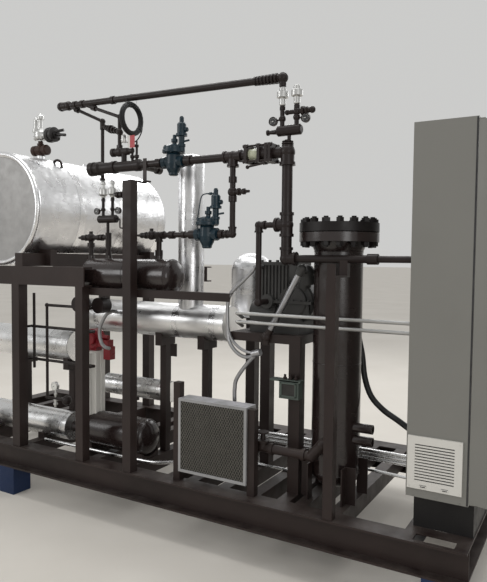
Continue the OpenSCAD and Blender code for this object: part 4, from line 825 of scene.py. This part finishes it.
SEAM_X, CORNER_X, CORNER_Z, LATCH_X = (-278, -170, -62), (-299, -63), (588, 824), (-233, -129)
seam_screws = screw_row("cabinet_seam_screws", [skid(x, 119.9, 538) for x in SEAM_X], 3.6, cabinet_grey)
corner_places = [skid(x, 107.9, z) for x in CORNER_X for z in CORNER_Z]
corner_screws = screw_row("grille_screws", corner_places, 3.0, cream)
# Thin black blocks under and behind the two latches: painted shade in their gaps
slots = [block((24, 0.8, 4.5), skid(x, 104.8, 589.5)) for x in LATCH_X]
slots += [block((34, 0.8, 2.4), skid(x, 107.8, 596.5)) for x in LATCH_X]
latch_gap_shade = join_as(slots, "grille_latch_gap_shade", hose_black, rounded=0.2)
print("screws:", seam_screws.name, corner_screws.name, latch_gap_shade.name)

# %% [markdown]
# ## Packing plate in the rail
# In front of the cabinet's foot a pale packing plate lies in a shallow pocket of the rail, beside a
# dark sheet that is painted shade in the pocket's open end, and a closing plate lies behind it.
# All are blocks with a bevel.

# %% Packing plate
plate_paint = painted("packing_plate_paint", (0.185, 0.170, 0.150), (0.30, 0.28, 0.25), roughness=0.6,
                      scuffs=0.4)
plate = join_as([block((143, 67, 5.6), skid(-133.5, 63.5, 351.9))], "packing_plate", plate_paint,
                rounded=1.2)
# A dark sheet: painted shade in the pocket beside the plate
pocket_shade = join_as([block((50, 70, 1.4), skid(-231.5, 66, 349.9))], "pocket_painted_shade", plinth_black,
                   rounded=0.3)
filler = join_as([block((117, 63, 5), skid(-183.5, 156.5, 352.4))], "deck_closing_plate", steel_brown,
                 rounded=0.8)
print("packing plate:", plate.name, pocket_shade.name, filler.name)

# %% [markdown]
# ## Weld seams
# Heads and nozzles are welded on. A weld is a low rounded bead with fine ripples. A bump on
# the shell would not stand out in outline, so each bead is a thin ring whose skin is pushed
# about by a very small noise.

# %% Weld seams
def weld_ring(name, axis, place, radius, bead, finish=steel_brown):
    """A bead round an axis; the ring's radius and the bead's own are in millimetres."""
    bpy.ops.mesh.primitive_torus_add(major_segments=128, minor_segments=8, major_radius=radius / 1000,
                                     minor_radius=bead / 1000, location=place, rotation=AXIS_TURN[axis])
    ring = bpy.context.object
    ring.name = name
    apply_place()
    crumple(ring, "CLOUDS", 0.006, bead / 4000, noise_depth=1)
    return settle(name, finish, smooth=60)


WELDS = (
    # name, axis, place, radius, bead
    ("drum_weld_left", "X", (-2495, 200, 1580), 109.0, 2.6),
    ("drum_weld_middle", "X", (-2160, 200, 1580), 109.0, 2.2),
    ("drum_weld_right", "X", (-1825, 200, 1580), 109.0, 2.6),
    ("vessel_weld_bottom", "Z", (-790, 365, 500), 136.0, 3.0),
    ("vessel_weld_middle", "Z", (-790, 365, 1120), 136.0, 2.4),
    ("vessel_weld_neck", "Z", (-790, 365, 1742), 136.0, 3.0),
    ("receiver_weld", "X", (-2110, 300, 495), 121.6, 2.2),
    ("drum_nozzle_weld_1", "Z", (-2358, 200, 1687.5), 25.0, 3.2),
    ("drum_nozzle_weld_2", "Z", (-2515, 200, 1681), 25.0, 3.2),
    ("drum_nozzle_weld_3", "Z", (-1933, 200, 1687.5), 25.0, 3.2),
)
for name, axis, place, radius, bead in WELDS:
    print(weld_ring(name, axis, skid(*place), radius, bead, glossy_brown).name)

# %% [markdown]
# ## The spare cable in its coil
# A control cable leaves a small silver housing, rises behind the hanging coil and then goes
# round it nearly ten times. Its line is one open curve: the turns climb slowly round the middle
# line of the bundle, so that neighbours lie side by side and never cross. One strap hangs the
# bundle from the vent pipe, and three more hold its turns together.

# %% The cable's route
def smooth_route(points, steps):
    """Places along one smooth curve through the given points."""
    route = []
    last = len(points) - 1
    for i in range(last):
        a, b, c, d = points[max(i - 1, 0)], points[i], points[i + 1], points[min(i + 2, last)]
        for k in range(steps):
            u = k / steps
            route.append(0.5 * (2 * b + (c - a) * u + (2 * a - 5 * b + 4 * c - d) * u * u
                                + (3 * b - a - 3 * c + d) * u ** 3))
    return route + [points[-1]]


def length_of(route):
    return sum((b - a).length for a, b in zip(route, route[1:]))


coil_low, coil_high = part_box("hanging_coil")
coil_middle = (coil_low + coil_high) / 2
bundle_r = (coil_high.x - coil_low.x) / 2
coil_r = (coil_high.z - coil_low.z) / 2 - bundle_r
# The cable's thickness, its turns, the slots they fill round the bundle's middle line at slot_r,
# and the points of its curve in each turn
CABLE = {"diameter": 0.008, "length": 5.85, "turns": 9.8, "slots": 10, "points": 24}
slot_r = 0.0136
HOUSING = skid(-2224, 200, 2462)


def coil_place(turned):
    """A place on the cable after so many turns, which start at the back and go up."""
    around = 2 * math.pi * turned + math.pi / 2
    slot = 2 * math.pi * turned / CABLE["slots"]
    reach = coil_r + slot_r * math.cos(slot)
    return coil_middle + Vector((slot_r * math.sin(slot), reach * math.sin(around),
                                 -reach * math.cos(around)))


RISE_STEPS = ((-0.004, 0.0185, -0.006), (-0.004, 0.044, -0.007), (0.008, 0.072, -0.005),
              (0.034, 0.094, 0.016))
rise = [HOUSING + Vector(step) for step in RISE_STEPS]
rise.append(Vector((coil_middle.x - 0.003, coil_place(0).y - 0.001, coil_middle.z - 0.060)))
turns = int(CABLE["turns"] * CABLE["points"])
wound = [coil_place(k / CABLE["points"]) for k in range(turns + 1)]
cable_route = smooth_route(rise + [wound[0]], 5) + wound[1:]
print("cable is", round(length_of(cable_route), 3), "m long, first", [round(v, 4) for v in cable_route[0]])


# %% Cable, straps and housing
def cable_curve(name, route, diameter, finish):
    """One open curve with a round section."""
    curve = bpy.data.curves.new(name, "CURVE")
    curve.dimensions = "3D"
    line = curve.splines.new("POLY")
    line.points.add(len(route) - 1)
    for point, place in zip(line.points, route):
        point.co = (*place, 1)
    curve.bevel_depth = diameter / 2
    curve.bevel_resolution = 3
    curve.use_fill_caps = True
    line.use_smooth = True
    cable = bpy.data.objects.new(name, curve)
    bpy.context.scene.collection.objects.link(cable)
    curve.materials.append(finish)
    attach(cable, "frame")
    return cable


def strap(name, middle, turn, wide, high, width, finish):
    """A flat band round something, wide and high in its own plane, in metres."""
    bpy.ops.mesh.primitive_cylinder_add(vertices=48, radius=0.5, depth=1, end_fill_type="NOTHING")
    band = bpy.context.object
    band.scale = (wide, high, width)
    bpy.ops.object.transform_apply(location=False, rotation=False, scale=True)
    wall = band.modifiers.new("wall", "SOLIDIFY")
    wall.thickness = 0.0012
    wall.offset = 1
    bpy.ops.object.modifier_apply(modifier=wall.name)
    band.rotation_euler = turn
    band.location = middle
    return settle(name, finish, smooth=40)


cable = cable_curve("spare_cable", cable_route, CABLE["diameter"], cable_black)
bundle_wide = 2 * slot_r + CABLE["diameter"] + 0.0006
STRAP_DEGREES = (52, 205, 308)
for k, degrees in enumerate(STRAP_DEGREES):
    angle = math.radians(degrees)
    middle = coil_middle + Vector((0, coil_r * math.sin(angle), -coil_r * math.cos(angle)))
    strap("coil_strap_%d" % (k + 1), middle, (angle + math.pi / 2, 0, 0), bundle_wide,
                        bundle_wide, 0.005, cable_black)
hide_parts("hanging_coil")

# %% Strap over the vent pipe and the cable's housing
VENT_STRAP = {"turn": (math.pi / 2, 0, math.radians(40)), "wide": 0.062, "high": 0.084, "width": 0.006}
strap_middle = coil_middle + Vector((0, 0, coil_r + 0.0232))
over = strap("vent_strap", strap_middle, finish=hose_black, **VENT_STRAP)
housing_parts = [bar(HOUSING + Vector((0, 0, -0.016)), HOUSING + Vector((0, 0, 0.030)), 18, 32),
                 block((26, 10, 8), HOUSING + Vector((-0.024, 0, 0.006))),
                 bar(HOUSING + Vector((0, 0, 0.030)), HOUSING + Vector((0, 0, 0.036)), 12, 6),
                 bar(HOUSING + Vector((-0.004, 0.010, -0.006)), HOUSING + Vector((-0.004, 0.026, -0.006)),
                     7, 6)]
housing = join_as(housing_parts, "cable_housing", silver, smooth=40, rounded=1.2)
print("strap and housing:", over.name, housing.name)

# %% [markdown]
# ## The hose to the cabinet
# A stiff black conduit hose hangs from a lug behind the upright vessel and swings over to the
# cabinet's side, where it enters through a hexagonal gland. The hose keeps its bending radius,
# so its line is a smooth curve through listed points, in millimetres.

# %% Cabinet hose
HOSE_Y = 506.96
HOSE_POINTS = ((-713.56, 1289.4), (-713.56, 1255), (-690, 1150), (-672, 1020), (-632, 915),
               (-560, 845), (-478, 798), (-400, 752), (-349, 730), (-319.3, 730))
HOSE = {"diameter": 0.034, "length": 0.765}
hose_route = smooth_route([skid(x, HOSE_Y, z) for x, z in HOSE_POINTS], 4)
hose = cable_curve("cabinet_hose", hose_route, HOSE["diameter"], hose_black)
wall = hose_route[-1]
nut = bar(wall + Vector((-0.018, 0, 0)), wall, 24, 6)
sleeve_end = bar(wall + Vector((-0.034, 0, 0)), wall, 20.5, 24)
gland = join_as([nut, sleeve_end], "hose_gland", hose_black, rounded=1.0)
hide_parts("cable_hose")
print("hose is", round(length_of(hose_route), 3), "m long")

# %% [markdown]
# ## Small fittings
# A grey-green junction box sits on the machine's stand and a gauge stands on the small pipe loop.
# A bright tube lies along the deck behind the front rail, and a lifting ring is welded on the tank.
# The box is a plain block with a wider strip on top and a raised frame of four bars, joined and
# bevelled at once, so that all its edges are eased alike. A dark plate in the frame is painted
# shade inside it.

# %% Junction box
box_green = powder_coat("junction_box_green", (0.060, 0.078, 0.066), 0.5)
box_middle = skid(-1009, 224, 962)
shell = [block((121.6, 55.6, 105.6), box_middle), block((191.6, 55.6, 11.6), skid(-1034, 224, 1011))]
for dx, dz, wide, high in ((0, 36.5, 96, 8), (0, -36.5, 96, 8), (-44, 0, 8, 81), (44, 0, 8, 81)):
    shell.append(block((wide, 12, high), box_middle + Vector((dx, -31, dz)) / 1000))
box_shell = join_as(shell, "junction_box_shell", box_green, rounded=1.5)
# A dark plate: painted shade inside the raised frame
box_frame_shade = join_as([block((81, 1.2, 66), box_middle + Vector((0, -0.0326, 0)))], "junction_box_frame_shade",
                     core_dark, rounded=0.2)
print("junction box:", box_shell.name, box_frame_shade.name)

# %% [markdown]
# The gauge stands on the loop's lower run, with a hexagonal union, a short valve body and a nut
# one under the other. All of them are bars on one middle line, so each is given by how far its
# top lies under the gauge, its radius and its height.

# %% Gauge on the small loop
gauge_at = skid(-2811, 150, 788)


def below(drop, radius, height, sides=16):
    """A bar of some height whose top is a drop under the gauge's middle."""
    top = gauge_at + Vector((0, 0, -drop / 1000))
    return bar(top, top + Vector((0, 0, -height / 1000)), radius, sides)


case = bar(gauge_at + Vector((0, 0.010, 0)), gauge_at + Vector((0, -0.014, 0)), 30, 48)
stem, union = below(28, 6.5, 56), below(50, 12, 16, 6)
nut, valve, collar = below(94, 14, 16, 6), below(108, 10, 40), below(120, 16, 14, 24)
loop_case = join_as([case, stem, union, nut, valve, collar], "loop_gauge_case", silver, smooth=40,
                    rounded=1.0)
loop_dial = gauge_dial("loop_gauge", gauge_at + Vector((0, -0.0144, 0)), 26.5, 0.08, dial_white, hose_black)
print("loop gauge:", loop_case.name, loop_dial.name)

# %% [markdown]
# The tube lies on the cross members behind the front rail and bends up to the cooler's back. A
# bar could be spun along each bend, but a curve with a round section follows any line through a
# few points. It is turned into a mesh at the end, as a tube of bare metal is no soft cord.

# %% Tube along the deck
TUBE_DIAMETER = 0.024
TUBE_POINTS = ((-2975, 204, 368), (-2700, 204, 368), (-2450, 204, 368), (-2200, 204, 370),
               (-1990, 204, 374), (-1862, 200, 396), (-1760, 194, 418), (-1650, 186, 428))
tube_route = smooth_route([skid(*p) for p in TUBE_POINTS], 6)
deck_tube = cable_curve("deck_tube", tube_route, TUBE_DIAMETER, bright_tube)
deck_tube.select_set(True)
bpy.context.view_layer.objects.active = deck_tube
bpy.ops.object.convert(target="MESH")
deck_tube = bpy.context.object
deck_tube.select_set(False)
print("deck tube:", len(deck_tube.data.polygons), "faces")

# %% [markdown]
# The ring is welded where the jacket's round back falls away, so its foot is worked out from the
# tank's radius.

# %% Lifting ring on the tank
ring_x = skid(-3130, 0, 0).x
tank_top = tank_z + math.sqrt(tank_r ** 2 - (ring_x - tank_x) ** 2)
ring_place = Vector((ring_x, skid(0, 470, 0).y, tank_top - 0.020))
lifting_ring = weld_ring("tank_lifting_ring", "Y", ring_place, 50.0, 9.0)
print("lifting ring:", lifting_ring.name)

# %% [markdown]
# ## Floor, light and background
# A pale floor and soft lamps, as in a studio. The background is pale grey for the camera and for
# mirrors, while the light on the plant comes from the lamps and an even sky.

# %% Floor
FLOOR_SIZE = 400
bpy.ops.mesh.primitive_plane_add(size=FLOOR_SIZE, location=(0, 0, 0))
floor = bpy.context.object
floor.name = "floor"
ground = Finish("pale_floor", roughness=0.7, Specular_IOR_Level=0.2)
clouds = ground.between(ground.noise(0.8, 6.0), 0.3, 0.7)
ground.set("Base Color", ground.blend(clouds, (0.555, 0.525, 0.475), (0.61, 0.58, 0.53)))
floor.data.materials.append(ground.material)
floor.select_set(False)
print("floor:", floor.name, ground.material.name)


# %% Lamps
def soft_lamp(name, place, aim, size, watts):
    lamp = bpy.data.lights.new(name, "AREA")
    lamp.shape = "RECTANGLE"
    lamp.size, lamp.size_y = size
    lamp.energy = watts
    holder = bpy.data.objects.new(name, lamp)
    holder.location = place
    holder.rotation_euler = (Vector(aim) - Vector(place)).to_track_quat("-Z", "Y").to_euler()
    bpy.context.scene.collection.objects.link(holder)
    return holder


LAMPS = (
    # name, place, aim, size, watts
    ("overhead", (0, -0.5, 6.0), (0, 0, 0), (6.0, 2.0), 120),
    ("front_left", (-4.5, -5.5, 3.6), (-0.5, 0.2, 1.2), (2.5, 2.5), 70),
    ("front_right", (4.8, -4.6, 2.4), (0.6, 0.2, 1.0), (2.0, 2.5), 38),
    ("rear", (1.0, 6.0, 4.2), (0, 0, 1.2), (4.0, 2.0), 60),
    ("rear_ceiling", (-3.2, 4.6, 5.8), (-1.0, 0, 1.6), (5.0, 1.0), 110),
)
for lamp in LAMPS:
    soft_lamp(*lamp)
print("lamps:", len(LAMPS))

# %% [markdown]
# The world has two backgrounds. Light Path tells which rays come from the camera, from a mirror
# or through glass: these see the backdrop, and all others are lit by the even sky.

# %% World
SKY_STRENGTH = 0.80
EVEN_SKY = (1, 1, 1, 1)
BACKDROP = (0.60, 0.60, 0.59, 1)
world = bpy.data.worlds.new("studio")
bpy.context.scene.world = world
world.use_nodes = True
sky = world.node_tree
sky.nodes.clear()
rays = sky.nodes.new("ShaderNodeLightPath")


def either(first, second):
    """1 where one of two sockets is 1."""
    larger = sky.nodes.new("ShaderNodeMath")
    larger.operation = "MAXIMUM"
    sky.links.new(first, larger.inputs[0])
    sky.links.new(second, larger.inputs[1])
    return larger.outputs[0]


def background(colour, strength):
    made = sky.nodes.new("ShaderNodeBackground")
    made.inputs["Color"].default_value = colour
    made.inputs["Strength"].default_value = strength
    return made.outputs[0]


mirrored = either(rays.outputs["Is Glossy Ray"], rays.outputs["Is Transmission Ray"])
choose = sky.nodes.new("ShaderNodeMixShader")
output = sky.nodes.new("ShaderNodeOutputWorld")
sky.links.new(either(rays.outputs["Is Camera Ray"], mirrored), choose.inputs["Fac"])
sky.links.new(background(EVEN_SKY, SKY_STRENGTH), choose.inputs[1])
sky.links.new(background(BACKDROP, 1.0), choose.inputs[2])
sky.links.new(choose.outputs[0], output.inputs["Surface"])
print("world:", world.name)
